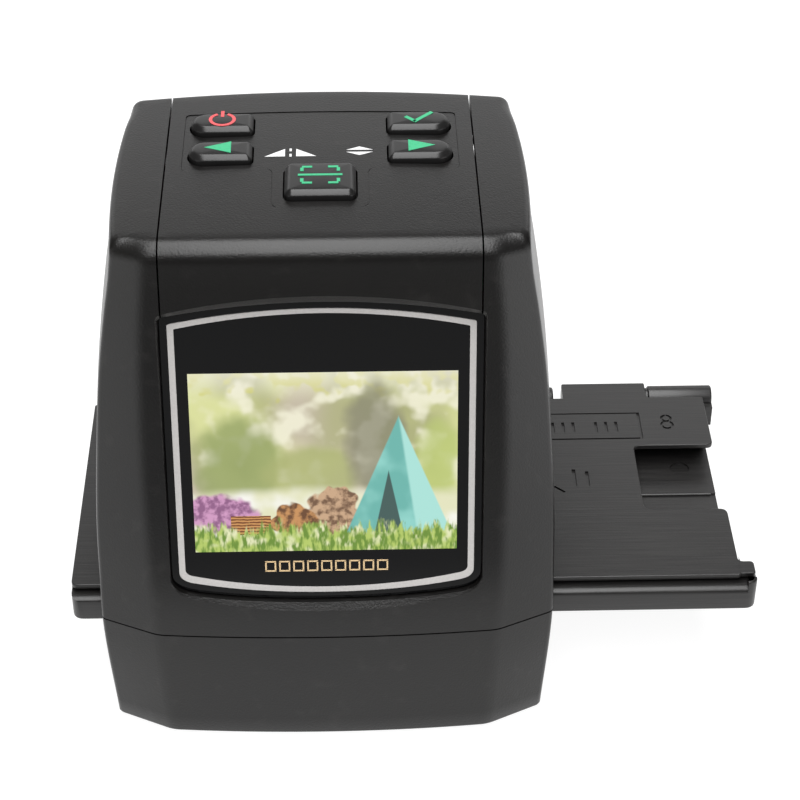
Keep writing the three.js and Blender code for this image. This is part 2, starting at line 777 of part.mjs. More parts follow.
function rearCover() {
  let solid = caseShell.intersect(rearOpening(0));
  const middle = (height) => portHeight + height / 2;
  solid = solid.subtract(
    block(
      cardSlotX - cardSlotWidth / 2 + portWall,
      cardSlotX + cardSlotWidth / 2 - portWall,
      0,
      caseDepth,
      middle(cardSlotHeight) - cardSlotHeight / 2 + portWall / 2,
      middle(cardSlotHeight) + cardSlotHeight / 2 - portWall / 2,
    ),
  );
  solid = solid.subtract(
    block(
      usbX - usbWidth / 2 + portWall - portMargin,
      usbX + usbWidth / 2 - portWall + portMargin,
      0,
      caseDepth,
      middle(usbHeight) - usbHeight / 2 + portWall - portMargin,
      middle(usbHeight) + usbHeight / 2 - portWall + portMargin,
    ),
  );
  solid = solid.subtract(barAlongY(jackX, 0, caseDepth, portHeight + jackRadius, jackBore + portMargin));
  for (const side of [-1, 1]) {
    const x = side * rearScrewX;
    const face = rearInside(rearScrewHeight) + caseWall;
    solid = solid.subtract(barAlongY(x, 0, caseDepth, rearScrewHeight, screwRadius + pieceGap));
    solid = solid.subtract(
      barAlongY(x, face - caseWall / 2, caseDepth, rearScrewHeight, screwHeadRadius + pieceGap),
    );
  }
  return solid;
}

// A button outline in plan, grown by `grow`. The square end has its own radius.
function buttonShape(button, grow) {
  const { x, y, width, depth } = button;
  const round = depth / 2 + grow - 0.01 * depth;
  const square = button.squareRadius + Math.max(grow, 0);
  return roundedRectangle(
    x - width / 2 - grow,
    x + width / 2 + grow,
    y - depth / 2 - grow,
    y + depth / 2 + grow,
    button.roundEnd === "left" ? round : square,
    button.roundEnd === "right" ? round : square,
  );
}

const sideButton = (name, side, y) => ({
  name,
  x: side * sideButtonX,
  y,
  width: sideButtonWidth,
  depth: sideButtonDepth,
  squareRadius: squareEndRadius,
  roundEnd: side < 0 ? "left" : "right",
});
const buttons = [
  sideButton("power", -1, backRowY),
  sideButton("ok", 1, backRowY),
  sideButton("left", -1, frontRowY),
  sideButton("right", 1, frontRowY),
  {
    name: "scan",
    x: 0,
    y: scanButtonY,
    width: scanButtonWidth,
    depth: scanButtonDepth,
    squareRadius: scanCornerRadius,
    roundEnd: "none",
  },
];

// The T-shaped recess that the buttons stand in.
function panelShape() {
  const r = panelCornerRadius;
  const shape = new THREE.Shape();
  shape.moveTo(-panelNeckHalfWidth + r, panelNeckFront);
  shape.lineTo(panelNeckHalfWidth - r, panelNeckFront);
  shape.quadraticCurveTo(panelNeckHalfWidth, panelNeckFront, panelNeckHalfWidth, panelNeckFront + r);
  shape.lineTo(panelNeckHalfWidth, panelFront - r);
  shape.quadraticCurveTo(panelNeckHalfWidth, panelFront, panelNeckHalfWidth + r, panelFront);
  shape.lineTo(panelHalfWidth - r / 2, panelFront);
  shape.quadraticCurveTo(panelHalfWidth, panelFront, panelHalfWidth, panelFront + r / 2);
  shape.lineTo(panelHalfWidth, panelBack - r / 2);
  shape.quadraticCurveTo(panelHalfWidth, panelBack, panelHalfWidth - r / 2, panelBack);
  shape.lineTo(-panelHalfWidth + r / 2, panelBack);
  shape.quadraticCurveTo(-panelHalfWidth, panelBack, -panelHalfWidth, panelBack - r / 2);
  shape.lineTo(-panelHalfWidth, panelFront + r / 2);
  shape.quadraticCurveTo(-panelHalfWidth, panelFront, -panelHalfWidth + r / 2, panelFront);
  shape.lineTo(-panelNeckHalfWidth - r, panelFront);
  shape.quadraticCurveTo(-panelNeckHalfWidth, panelFront, -panelNeckHalfWidth, panelFront - r);
  shape.lineTo(-panelNeckHalfWidth, panelNeckFront + r);
  shape.quadraticCurveTo(-panelNeckHalfWidth, panelNeckFront, -panelNeckHalfWidth + r, panelNeckFront);
  return shape;
}

const boardPosts = [
  [-buttonBoardWidth / 2 + boardPostRadius * 2, panelNeckFront + boardPostRadius * 2],
  [buttonBoardWidth / 2 - boardPostRadius * 2, panelNeckFront + boardPostRadius * 2],
  [-boardPostRadius * 3, backRowY],
  [boardPostRadius * 3, backRowY],
];

function topCover() {
  const region = coverRegion(coverHalfWidth, coverRearHeight + seamGap);
  const browFrame = bezelFrame().intersect(caseForm(caseWall / 2)).intersect(region);
  let solid = caseShell.intersect(region).add(browFrame);
  solid = solid.subtract(windowSurround).subtract(windowPocket);
  const recess = prism(
    panelShape(),
    caseHeight - creaseRadius,
    caseHeight + cutOverrun,
    2,
  ).subtract(caseForm(panelRecess));
  solid = solid.subtract(recess);
  for (const [x, y] of boardPosts) {
    solid = solid.add(
      post(x, y, buttonBoardTop + pieceGap / 3, coverUnderside + caseWall / 2, boardPostRadius, 10),
    );
  }
  for (const button of buttons) {
    solid = solid.subtract(
      prism(buttonShape(button, buttonClearance), flangeTop, caseHeight + cutOverrun, 4),
    );
  }
  return solid;
}

// A push button: a bevelled cap, a flange that keeps it in the cover, and a stem over its switch.
function pushButton(button) {
  const capTop = topHeight(button.x, button.y) - panelRecess + buttonProud;
  const inset = buttonShape(button, -buttonBevel);
  const cap = new THREE.ExtrudeGeometry(inset, {
    depth: capTop - flangeTop - buttonBevel * 2,
    bevelEnabled: true,
    bevelThickness: buttonBevel,
    bevelSize: buttonBevel,
    bevelSegments: 2,
    curveSegments: 4,
  });
  return solidOf(cap.translate(0, 0, flangeTop + buttonBevel))
    .subtract(block(-caseWidth, caseWidth, -caseDepth, caseDepth, 0, flangeTop))
    .add(prism(buttonShape(button, 0), flangeTop - flangeThickness / 2, flangeTop + buttonBevel, 4))
    .add(prism(buttonShape(button, flangeWidth), flangeBottom, flangeTop, 4))
    .add(post(button.x, button.y, stemBottom, flangeBottom + flangeThickness / 2, stemRadius, 10));
}

function tactSwitch(button) {
  const half = switchSize / 2;
  return block(
    button.x - half,
    button.x + half,
    button.y - half,
    button.y + half,
    buttonBoardTop + pieceGap / 3,
    switchTop,
  ).add(post(button.x, button.y, switchTop - plungerHeight, plungerTop, plungerRadius, 12));
}

function buttonBoard() {
  return block(
    -buttonBoardWidth / 2,
    buttonBoardWidth / 2,
    buttonBoardFront,
    buttonBoardBack,
    buttonBoardTop - boardThickness,
    buttonBoardTop,
  );
}

function screenWindow() {
  const trim = trimRing(trimClearance, trimDepth + trimClearance, windowThickness);
  return screenPlate(windowShape(0), -windowThickness, 0).subtract(trim);
}

// The printed silver line as a thin inlay, `grow` wider all round.
function trimRing(grow, depth, rise) {
  const outer = screenPlate(windowShape(-trimMargin + grow), -depth, rise);
  return outer.subtract(
    screenPlate(windowShape(-trimMargin - trimWidth - grow), -depth * 2 - rise, rise * 2 + depth),
  );
}

function displayPanel() {
  const shape = rectangle(
    -displayWidth / 2,
    displayWidth / 2,
    displayMiddle - displayHeight / 2,
    displayMiddle + displayHeight / 2,
  );
  const front = -windowThickness - pieceGap;
  return screenPlate(shape, front - displayThickness, front);
}

function displayFrame() {
  const front = -windowThickness - pieceGap * 2 - displayThickness;
  const halfWidth = displayWidth / 2 + pieceGap;
  const halfHeight = displayHeight / 2 + pieceGap;
  const plate = screenPlate(
    rectangle(-halfWidth, halfWidth, displayMiddle - halfHeight, displayMiddle + halfHeight),
    front - displayFrameThickness,
    front,
  );
  const hole = rectangle(
    -halfWidth + displayFrameBand,
    halfWidth - displayFrameBand,
    displayMiddle - halfHeight + displayFrameBand,
    displayMiddle + halfHeight - displayFrameBand,
  );
  return plate.subtract(screenPlate(hole, front - cutOverrun, front + cutOverrun));
}

// Film holder: x runs from its left end to its right end
const holderLeft = holderCentreX - holderLength / 2;
const holderRight = holderCentreX + holderLength / 2;
const trayRight = holderRight - holderEndInset;
const barrelEnds = {
  left: [holderLeft + endBarrelInset, holderLeft + endBarrelInset + endBarrelLength],
  right: [holderRight - endBarrelInset - endBarrelLength, holderRight - endBarrelInset],
};
const knuckleEnds = {
  left: [barrelEnds.left[1] + knuckleGap, barrelEnds.left[1] + knuckleGap + lidKnuckleLength],
  right: [barrelEnds.right[0] - knuckleGap - lidKnuckleLength, barrelEnds.right[0] - knuckleGap],
};
const middleBarrel = [knuckleEnds.left[1] + knuckleNotch, knuckleEnds.right[0] - knuckleNotch];

function apertureCut() {
  return block(
    holderCentreX - apertureWidth / 2,
    holderCentreX + apertureWidth / 2,
    opticalY - apertureDepth / 2,
    opticalY + apertureDepth / 2,
    0,
    caseHeight,
  );
}

// The two hinge pins: half in an end barrel, half in a lid knuckle.
function pinEnds() {
  const leftMiddle = barrelEnds.left[1] + knuckleGap / 2;
  const rightMiddle = barrelEnds.right[0] - knuckleGap / 2;
  return [
    [leftMiddle - hingePinLength / 2, leftMiddle + hingePinLength / 2],
    [rightMiddle - hingePinLength / 2, rightMiddle + hingePinLength / 2],
  ];
}

function holderBase() {
  const floorTop = holderBottom + holderFloor;
  const lipTop = holderBottom + holderLipHeight;
  const rimTop = holderBottom + holderRimHeight;
  const r = holderCornerRadius;
  const longOutline = roundedRectangle(holderLeft, holderRight, holderFront, holderBack, r, r);
  const tray = prism(longOutline, holderBottom, rimTop, 4)
    .subtract(block(trayRight, holderRight + r, holderToeBack, holderBack + r, 0, caseHeight))
    .subtract(block(holderLeft - r, holderRight + r, holderFront - r, holderLipBack, lipTop, caseHeight));
  const channel = block(
    holderLeft + holderEndWall,
    holderRight + holderEndWall,
    opticalY - filmChannel / 2,
    opticalY + filmChannel / 2,
    floorTop,
    caseHeight,
  );
  const stub = prism(longOutline, holderBottom, stubHeight, 4).intersect(
    block(holderRight - stubLength, holderRight + r, holderFront - r, stubBack, 0, caseHeight),
  );
  let solid = tray.subtract(channel).add(stub);
  for (const [x0, x1] of [knuckleEnds.left, knuckleEnds.right]) {
    const y = hingeY - hingeRadius - pieceGap;
    const z = hingeHeight - hingeRadius - pieceGap;
    solid = solid.subtract(block(x0 - knuckleNotch, x1 + knuckleNotch, y, holderBack + r, z, caseHeight));
  }
  for (const [x0, x1] of [barrelEnds.left, barrelEnds.right, middleBarrel]) {
    solid = solid.add(barAlongX(x0, x1, hingeY, hingeHeight, hingeRadius));
    solid = solid.add(block(x0, x1, holderLugFront, hingeY, holderBottom, hingeHeight));
  }
  for (const [x0, x1] of pinEnds()) {
    solid = solid.subtract(barAlongX(x0 - pieceGap, x1 + pieceGap, hingeY, hingeHeight, hingeBoreRadius));
  }
  return solid.subtract(apertureCut());
}

function holderLid() {
  const bottom = lidTop - lidThickness;
  const right = holderRight - lidEndInset;
  const plateBack = hingeY - hingeRadius - pieceGap;
  const r = lidCornerRadius;
  const lower = roundedRectangle(holderLeft, right, lidFront, lidNotchFront, r, r);
  const upper = roundedRectangle(holderLeft, right, lidNotchBack, plateBack, r / 3, r);
  const notchLeft = right - lidNotchLength;
  const notch = roundedRectangle(
    notchLeft,
    right + lidNotchLength,
    lidNotchFront,
    lidNotchBack,
    lidNotchRadius,
    r,
  );
  const bridge = block(
    holderLeft,
    notchLeft + lidNotchRadius * 2,
    lidFront + r * 2,
    plateBack - r,
    bottom,
    lidTop,
  );
  const toe = block(notchLeft, right + r, lidFront, lidTabFront + r, bottom, lidTop).subtract(
    block(
      right + r / 2,
      right + lidTabReach,
      lidFront - r,
      lidTabFront,
      bottom - pieceGap,
      lidTop + pieceGap,
    ),
  );
  const tab = block(right - r, right + lidTabReach, lidTabFront, lidTabBack, bottom, lidTop);
  let solid = prism(lower, bottom, lidTop, 3)
    .add(prism(upper, bottom, lidTop, 3))
    .add(bridge.subtract(prism(notch, bottom - pieceGap, lidTop + pieceGap, 4)))
    .add(toe)
    .add(tab);
  for (const [x0, x1] of [knuckleEnds.left, knuckleEnds.right]) {
    solid = solid.add(barAlongX(x0, x1, hingeY, hingeHeight, hingeRadius));
    solid = solid.add(block(x0, x1, plateBack - hingeRadius, hingeY + hingeRadius - r / 2, bottom, lidTop));
    solid = solid.add(block(x0, x1, hingeY, hingeY + hingeRadius, hingeHeight, lidTop - r / 2));
  }
  solid = solid.intersect(block(holderLeft - r, holderRight + r, lidFront - r, caseDepth, 0, lidTop));
  solid = solid.subtract(apertureCut());
  for (const [x0, x1] of pinEnds()) {
    solid = solid.subtract(barAlongX(x0 - pieceGap, x1 + pieceGap, hingeY, hingeHeight, hingeBoreRadius));
  }
  return solid;
}

// Light box: an open tray with the lamp board on its floor and the diffuser in its mouth
const lightBoxTop = slotBottom - pieceGap;

function lightBox() {
  const x = lightBoxWidth / 2;
  const y = lightBoxDepth / 2;
  const bottom = caseWall + pieceGap;
  const body = block(-x, x, opticalY - y, opticalY + y, bottom, lightBoxTop);
  const mouth = lightBoxTop - diffuserThickness - pieceGap;
  const wall = lightBoxWall;
  return body
    .subtract(
      block(
        -x + wall * 2,
        x - wall * 2,
        opticalY - y + wall * 2,
        opticalY + y - wall * 2,
        bottom + wall,
        lightBoxTop + pieceGap,
      ),
    )
    .subtract(
      block(-x + wall, x - wall, opticalY - y + wall, opticalY + y - wall, mouth, lightBoxTop + pieceGap),
    );
}

function diffuser() {
  const x = lightBoxWidth / 2 - lightBoxWall - pieceGap;
  const y = lightBoxDepth / 2 - lightBoxWall - pieceGap;
  return block(-x, x, opticalY - y, opticalY + y, lightBoxTop - diffuserThickness, lightBoxTop);
}

const ledBoardTop = caseWall + pieceGap * 2 + lightBoxWall + boardThickness;

function ledBoard() {
  const x = lightBoxWidth / 2 - lightBoxWall * 2 - pieceGap;
  const y = lightBoxDepth / 2 - lightBoxWall * 2 - pieceGap;
  return block(-x, x, opticalY - y, opticalY + y, ledBoardTop - boardThickness, ledBoardTop);
}

function led(column, row) {
  const x = (column * ledPitch) / 2;
  const y = opticalY + (row * ledPitch) / 3;
  const half = ledSize / 2;
  const bottom = ledBoardTop + pieceGap / 3;
  return block(x - half, x + half, y - half, y + half, bottom, bottom + ledHeight);
}

// Optics: chassis plate over the slot, hood, lens holder, lens and image sensor
const chassisBottom = slotTop + pieceGap;
const chassisTop = chassisBottom + chassisThickness;

function chassisPlate() {
  const back = slotBack - chassisBackInset;
  const tongue = block(
    -chassisTongueHalfWidth,
    chassisTongueHalfWidth,
    back / 2,
    back + chassisTongue,
    chassisBottom,
    chassisTop,
  );
  return caseForm(caseWall + pieceGap)
    .intersect(
      block(-caseWidth, caseWidth, slotFront - chassisSeat, back, chassisBottom, chassisTop).add(tongue),
    )
    .subtract(
      block(
        -hoodBaseWidth / 2 + hoodWall * 2,
        hoodBaseWidth / 2 - hoodWall * 2,
        opticalY - hoodBaseDepth / 2 + hoodWall * 2,
        opticalY + hoodBaseDepth / 2 - hoodWall * 2,
        0,
        caseHeight,
      ),
    );
}

function opticalHood() {
  const bottom = chassisTop + pieceGap / 3;
  const ring = (width, depth, z) => [
    new THREE.Vector3(-width / 2, opticalY - depth / 2, z),
    new THREE.Vector3(width / 2, opticalY - depth / 2, z),
    new THREE.Vector3(width / 2, opticalY + depth / 2, z),
    new THREE.Vector3(-width / 2, opticalY + depth / 2, z),
  ];
  const outer = skin([ring(hoodBaseWidth, hoodBaseDepth, bottom), ring(hoodTopSize, hoodTopSize, hoodTop)]);
  const w = hoodWall * 2;
  const inner = skin([
    ring(hoodBaseWidth - w, hoodBaseDepth - w, bottom - hoodWall),
    ring(hoodTopSize - w, hoodTopSize - w, hoodTop - hoodWall),
  ]);
  return outer.subtract(inner).subtract(
    post(0, opticalY, hoodTop - hoodWall * 3, hoodTop + pieceGap, lensBoreRadius),
  );
}

function lensHolder() {
  return post(
    0,
    opticalY,
    lensHolderBottom,
    lensHolderBottom + lensHolderHeight,
    lensHolderRadius,
    24,
  ).subtract(
    post(0, opticalY, lensHolderBottom - pieceGap, sensorBoardBottom, lensBoreRadius + pieceGap, 24),
  );
}

function lens() {
  const profile = [
    new THREE.Vector2(0, -lensThickness / 2),
    new THREE.Vector2(lensRadius * 0.5, -lensThickness * 0.44),
    new THREE.Vector2(lensRadius, -lensThickness * 0.25),
    new THREE.Vector2(lensRadius, lensThickness * 0.25),
    new THREE.Vector2(lensRadius * 0.5, lensThickness * 0.44),
    new THREE.Vector2(0, lensThickness / 2),
  ];
  const geometry = new THREE.LatheGeometry(profile, 20).rotateX(Math.PI / 2);
  return solidOf(geometry.translate(0, opticalY, lensHolderBottom + lensThickness / 2));
}

function sensorBoard() {
  const half = sensorBoardSize / 2;
  return block(
    -half,
    half,
    opticalY - half,
    opticalY + half,
    sensorBoardBottom,
    sensorBoardBottom + boardThickness,
  );
}

function imageSensor() {
  const half = sensorSize / 2;
  const top = sensorBoardBottom - pieceGap / 3;
  return block(-half, half, opticalY - half * 0.8, opticalY + half * 0.8, top - sensorHeight, top);
}

// Main board across the top of the optics, with its sockets at the back
function mainBoard() {
  const half = mainBoardWidth / 2;
  return block(
    -half,
    half,
    mainBoardFront,
    portFace - pieceGap,
    mainBoardHeight,
    mainBoardHeight + boardThickness,
  );
}

// A hollow socket shell on the board, open to the back.
function socket(x, width, height, depth) {
  const bottom = portHeight + pieceGap / 3;
  const body = block(x - width / 2, x + width / 2, portFace - depth, portFace, bottom, bottom + height);
  return body.subtract(
    block(
      x - width / 2 + portWall,
      x + width / 2 - portWall,
      portFace - depth + portWall * 2,
      portFace + pieceGap,
      bottom + portWall,
      bottom + height - portWall,
    ),
  );
}

function videoJack() {
  const z = portHeight + pieceGap / 3 + jackRadius;
  return barAlongY(jackX, portFace - jackDepth, portFace, z, jackRadius).subtract(
    barAlongY(jackX, portFace - jackDepth + jackBore, portFace + pieceGap, z, jackBore),
  );
}

// A flat ribbon cable: its middle line in the side view, and its two edges in X.
function ribbon(points, x0, x1) {
  const half = flexThickness / 2;
  const side = (sign) =>
    points.map((point, i) => {
      const before = points[Math.max(i - 1, 0)];
      const after = points[Math.min(i + 1, points.length - 1)];
      const along = after.clone().sub(before).normalize();
      return new THREE.Vector2(point.x - sign * along.y * half, point.y + sign * along.x * half);
    });
  const shape = new THREE.Shape([...side(1), ...side(-1).reverse()]);
  const geometry = new THREE.ExtrudeGeometry(shape, { depth: x1 - x0, bevelEnabled: false });
  const turned = new THREE.Matrix4().set(0, 0, 1, x0, 1, 0, 0, 0, 0, 1, 0, 0, 0, 0, 0, 1);
  return solidOf(geometry.applyMatrix4(turned));
}

// A ribbon's middle line that leaves `from`, turns back on itself at `bend` and returns to `from`.
function uTurn(from, bend, low, high) {
  const radius = (high - low) / 2;
  const away = Math.sign(bend - from);
  const points = [new THREE.Vector2(from, low)];
  for (let step = 0; step <= 6; step += 1) {
    const angle = (step / 6) * Math.PI;
    points.push(
      new THREE.Vector2(bend + away * radius * Math.sin(angle), low + radius * (1 - Math.cos(angle))),
    );
  }
  points.push(new THREE.Vector2(from, high));
  return points;
}

// From the back of the display over to the front edge of the main board.
function displayFlex() {
  const back = -windowThickness - pieceGap * 4 - displayThickness - displayFrameThickness;
  const at = (up, out) => new THREE.Vector3(0, up, out).applyMatrix4(screenMatrix);
  const start = at(displayMiddle + displayHeight / 2 - displayFrameBand * 2, back);
  const rise = at(displayMiddle + displayHeight / 2 - displayFrameBand, back);
  const end = new THREE.Vector2(
    mainBoardFront + displayFrameBand,
    mainBoardHeight + boardThickness + pieceGap,
  );
  const curve = new THREE.CubicBezierCurve(
    new THREE.Vector2(rise.y, rise.z),
    new THREE.Vector2(rise.y + Math.tan(screenLean) * displayFrameBand * 2, rise.z + displayFrameBand * 2),
    new THREE.Vector2(mainBoardFront - displayFrameBand, end.y),
    new THREE.Vector2(mainBoardFront, end.y),
  );
  const points = [new THREE.Vector2(start.y, start.z), ...curve.getPoints(8), end];
  return ribbon(points, -displayFrameBand * 1.5, displayFrameBand * 1.5);
}

// From the sensor board to the underside of the main board.
function sensorFlex() {
  const bend = opticalY + sensorBoardSize / 2;
  const low = sensorBoardBottom + boardThickness + pieceGap;
  const high = mainBoardHeight - pieceGap;
  return ribbon(uTurn(bend - displayFrameBand, bend, low, high), -displayFrameBand, displayFrameBand);
}

// From the main board up to the underside of the button board.
function buttonFlex() {
  const low = mainBoardHeight + boardThickness + pieceGap;
  const high = buttonBoardTop - boardThickness - pieceGap;
  const bend = mainBoardFront + displayFrameBand;
  return ribbon(
    uTurn(bend + displayFrameBand, bend, low, high),
    displayFrameBand * 3,
    displayFrameBand * 5,
  );
}

// A leaf spring on the front fence that steadies the holder.
function detentSpring() {
  const y = slotFront;
  const z = holderBottom + holderLipHeight / 2;
  return block(
    -springLength / 2,
    springLength / 2,
    y,
    y + springThickness,
    z - springWidth / 4,
    z + springWidth / 4,
  );
}

function screwAlongZ(x, y, seat, tip) {
  return post(x, y, seat - screwHeadHeight, seat - pieceGap / 3, screwHeadRadius, 12).add(
    post(x, y, seat - screwHeadHeight / 2, tip, screwRadius, 8),
  );
}

function rearScrew(side) {
  const seat = rearInside(rearScrewHeight) + caseWall / 2 + pieceGap / 3;
  const x = side * rearScrewX;
  const head = barAlongY(x, seat, seat + screwHeadHeight / 2, rearScrewHeight, screwHeadRadius, 12);
  return head.add(
    barAlongY(x, seat - caseWall * 2, seat + screwHeadHeight / 4, rearScrewHeight, screwRadius, 8),
  );
}

// Finishes
const finishes = {
  caseBlack: { color: 0x2c2b2b, roughness: 0.42, metalness: 0 },
  holderBlack: { color: 0x303030, roughness: 0.5, metalness: 0 },
  buttonBlack: { color: 0x262626, roughness: 0.35, metalness: 0 },
  windowBlack: { color: 0x101012, roughness: 0.08, metalness: 0 },
  trimSilver: { color: 0xb9b2ad, roughness: 0.35, metalness: 0.8 },
  displayGlass: { color: 0xc8d8a0, roughness: 0.2, metalness: 0 },
  insideBlack: { color: 0x151515, roughness: 0.8, metalness: 0 },
  boardGreen: { color: 0x1d5a34, roughness: 0.5, metalness: 0 },
  steel: { color: 0xb8bcc0, roughness: 0.3, metalness: 1 },
  white: { color: 0xf0f0ea, roughness: 0.6, metalness: 0 },
  lensGlass: { color: 0x7fa0b8, roughness: 0.05, metalness: 0 },
  rubber: { color: 0x1a1a1a, roughness: 0.9, metalness: 0 },
  ribbonAmber: { color: 0xb06a20, roughness: 0.4, metalness: 0 },
};

const scanner = new THREE.Group();

// A cut that grazes a curved face can leave a splinter, so only the largest body is kept.
function largestBody(solid) {
  const bodies = solid.decompose();
  return bodies.reduce((best, body) => (body.volume() > best.volume() ? body : best));
}

function place(name, solid, finish) {
  const material = new THREE.MeshStandardMaterial(finishes[finish]);
  const mesh = new THREE.Mesh(geometryOf(largestBody(solid.simplify(meshTolerance))), material);
  mesh.name = name;
  scanner.add(mesh);
}

place("base_housing", baseHousing(), "caseBlack");
place("main_housing", mainHousing(), "caseBlack");
place("top_cover", topCover(), "caseBlack");
place("rear_cover", rearCover(), "caseBlack");
place("screen_window", screenWindow(), "windowBlack");
place("window_trim", trimRing(0, trimDepth, 0), "trimSilver");
place("display_panel", displayPanel(), "displayGlass");
place("display_frame", displayFrame(), "steel");
for (const button of buttons) {
  place(`button_${button.name}`, pushButton(button), "buttonBlack");
  place(`switch_${button.name}`, tactSwitch(button), "insideBlack");
}
place("button_board", buttonBoard(), "boardGreen");
place("holder_base", holderBase(), "holderBlack");
place("holder_lid", holderLid(), "holderBlack");
pinEnds().forEach(([x0, x1], index) => {
  place(
    `hinge_pin_${index ? "right" : "left"}`,
    barAlongX(x0, x1, hingeY, hingeHeight, hingePinRadius, 10),
    "steel",
  );
});
place("light_box", lightBox(), "white");
place("diffuser", diffuser(), "white");
place("led_board", ledBoard(), "white");
[[-1, -1], [1, -1], [-1, 1], [1, 1]].forEach(([column, row], index) => {
  place(`led_${index + 1}`, led(column, row), "white");
});
place("chassis_plate", chassisPlate(), "insideBlack");
place("optical_hood", opticalHood(), "insideBlack");
place("lens_holder", lensHolder(), "insideBlack");
place("lens", lens(), "lensGlass");
place("sensor_board", sensorBoard(), "boardGreen");
place("image_sensor", imageSensor(), "insideBlack");
place("main_board", mainBoard(), "boardGreen");
place("usb_socket", socket(usbX, usbWidth, usbHeight, usbDepth), "steel");
place("card_socket", socket(cardSlotX, cardSlotWidth, cardSlotHeight, cardSlotDepth), "steel");
place("video_jack", videoJack(), "insideBlack");
place("display_flex", displayFlex(), "ribbonAmber");
place("sensor_flex", sensorFlex(), "ribbonAmber");
place("button_flex", buttonFlex(), "ribbonAmber");
place("detent_spring", detentSpring(), "steel");
footPlaces().forEach(([x, y], index) => {
  place(`foot_${index + 1}`, post(x, y, -footDrop, footPocket - pieceGap / 3, footRadius, 20), "rubber");
});
bossPlaces.forEach(([x, y], index) => {
  place(`base_screw_${index + 1}`, screwAlongZ(x, y, screwSeat, mainBossTop - caseWall * 1.5), "steel");
});
place("rear_screw_left", rearScrew(-1), "steel");
place("rear_screw_right", rearScrew(1), "steel");

export default scanner;
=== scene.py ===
import math

import bmesh
import bpy
from mathutils import Matrix, Vector


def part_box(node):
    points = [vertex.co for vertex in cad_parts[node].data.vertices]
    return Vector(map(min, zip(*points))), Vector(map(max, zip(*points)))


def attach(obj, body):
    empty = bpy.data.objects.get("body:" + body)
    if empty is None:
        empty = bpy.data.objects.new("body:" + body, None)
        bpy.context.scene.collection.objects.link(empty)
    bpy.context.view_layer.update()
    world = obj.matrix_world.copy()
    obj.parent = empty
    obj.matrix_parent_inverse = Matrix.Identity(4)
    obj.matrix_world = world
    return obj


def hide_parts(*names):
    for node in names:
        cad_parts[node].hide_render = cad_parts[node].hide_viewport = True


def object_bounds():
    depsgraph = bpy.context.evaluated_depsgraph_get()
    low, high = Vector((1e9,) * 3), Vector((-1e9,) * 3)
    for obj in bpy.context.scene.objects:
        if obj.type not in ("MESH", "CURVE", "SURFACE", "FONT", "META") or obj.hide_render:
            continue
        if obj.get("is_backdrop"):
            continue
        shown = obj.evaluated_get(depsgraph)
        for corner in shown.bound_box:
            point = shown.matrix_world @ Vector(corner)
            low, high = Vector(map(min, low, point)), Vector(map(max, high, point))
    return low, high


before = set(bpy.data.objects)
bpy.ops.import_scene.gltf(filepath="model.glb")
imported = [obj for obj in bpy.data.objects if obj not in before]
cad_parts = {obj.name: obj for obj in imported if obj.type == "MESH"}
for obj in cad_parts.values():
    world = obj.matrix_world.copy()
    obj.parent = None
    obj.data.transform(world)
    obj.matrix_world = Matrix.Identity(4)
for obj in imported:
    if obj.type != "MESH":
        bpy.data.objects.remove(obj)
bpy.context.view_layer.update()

# Camera
# The photograph was taken with a long lens from in front, looking about 38 degrees down,
# with the scanner turned a little so that its right side just shows.
view_right = Vector((0.999653, -0.026203, 0.0026535))
view_up = Vector((0.0140417, 0.615488, 0.788021))
view_forward = Vector((0.022282, 0.78771, -0.615643))
camera_data = bpy.data.cameras.new("camera")
camera_data.lens = 98.96
camera_data.sensor_width = 36
camera_data.clip_start = 0.01
camera = bpy.data.objects.new("camera", camera_data)
camera.matrix_world = Matrix((view_right, view_up, -view_forward)).transposed().to_4x4()
camera.matrix_world.translation = Vector((0.004849, -0.334405, 0.309705))
bpy.context.scene.collection.objects.link(camera)
bpy.context.scene.camera = camera
bpy.context.scene.view_settings.view_transform = "Standard"

# Floor and light
# A plain pale floor that glows like a light table, most to the right, and is shaded in front
# of the scanner; a dim room; and soft boxes over, behind and beside it.
class Value:
    """A value inside a material, to be added, multiplied and compared as numbers are."""

    def __init__(self, finish, socket):
        self.finish, self.socket = finish, socket

    def math(self, operation, *others):
        return self.finish.node("ShaderNodeMath", {"operation": operation}, dict(enumerate((self, *others))))

    def __add__(self, other):
        return self.math("ADD", other)

    def __sub__(self, other):
        return self.math("SUBTRACT", other)

    def __rsub__(self, other):
        return self.finish.node("ShaderNodeMath", {"operation": "SUBTRACT"}, {0: other, 1: self})

    def __mul__(self, other):
        return self.math("MULTIPLY", other)

    def __truediv__(self, other):
        return self.math("DIVIDE", other)

    def __pow__(self, other):
        return self.math("POWER", other)

    def __mod__(self, other):
        return self.math("FLOORED_MODULO", other)

    def __lt__(self, other):
        return self.math("LESS_THAN", other)

    def __gt__(self, other):
        return self.math("GREATER_THAN", other)

    def __abs__(self):
        return self.math("ABSOLUTE")

    __radd__, __rmul__ = __add__, __mul__

    def smooth(self, low, high):
        inputs = {"Value": self, "From Min": low, "From Max": high}
        return self.finish.node("ShaderNodeMapRange", {"interpolation_type": "SMOOTHSTEP"}, inputs)


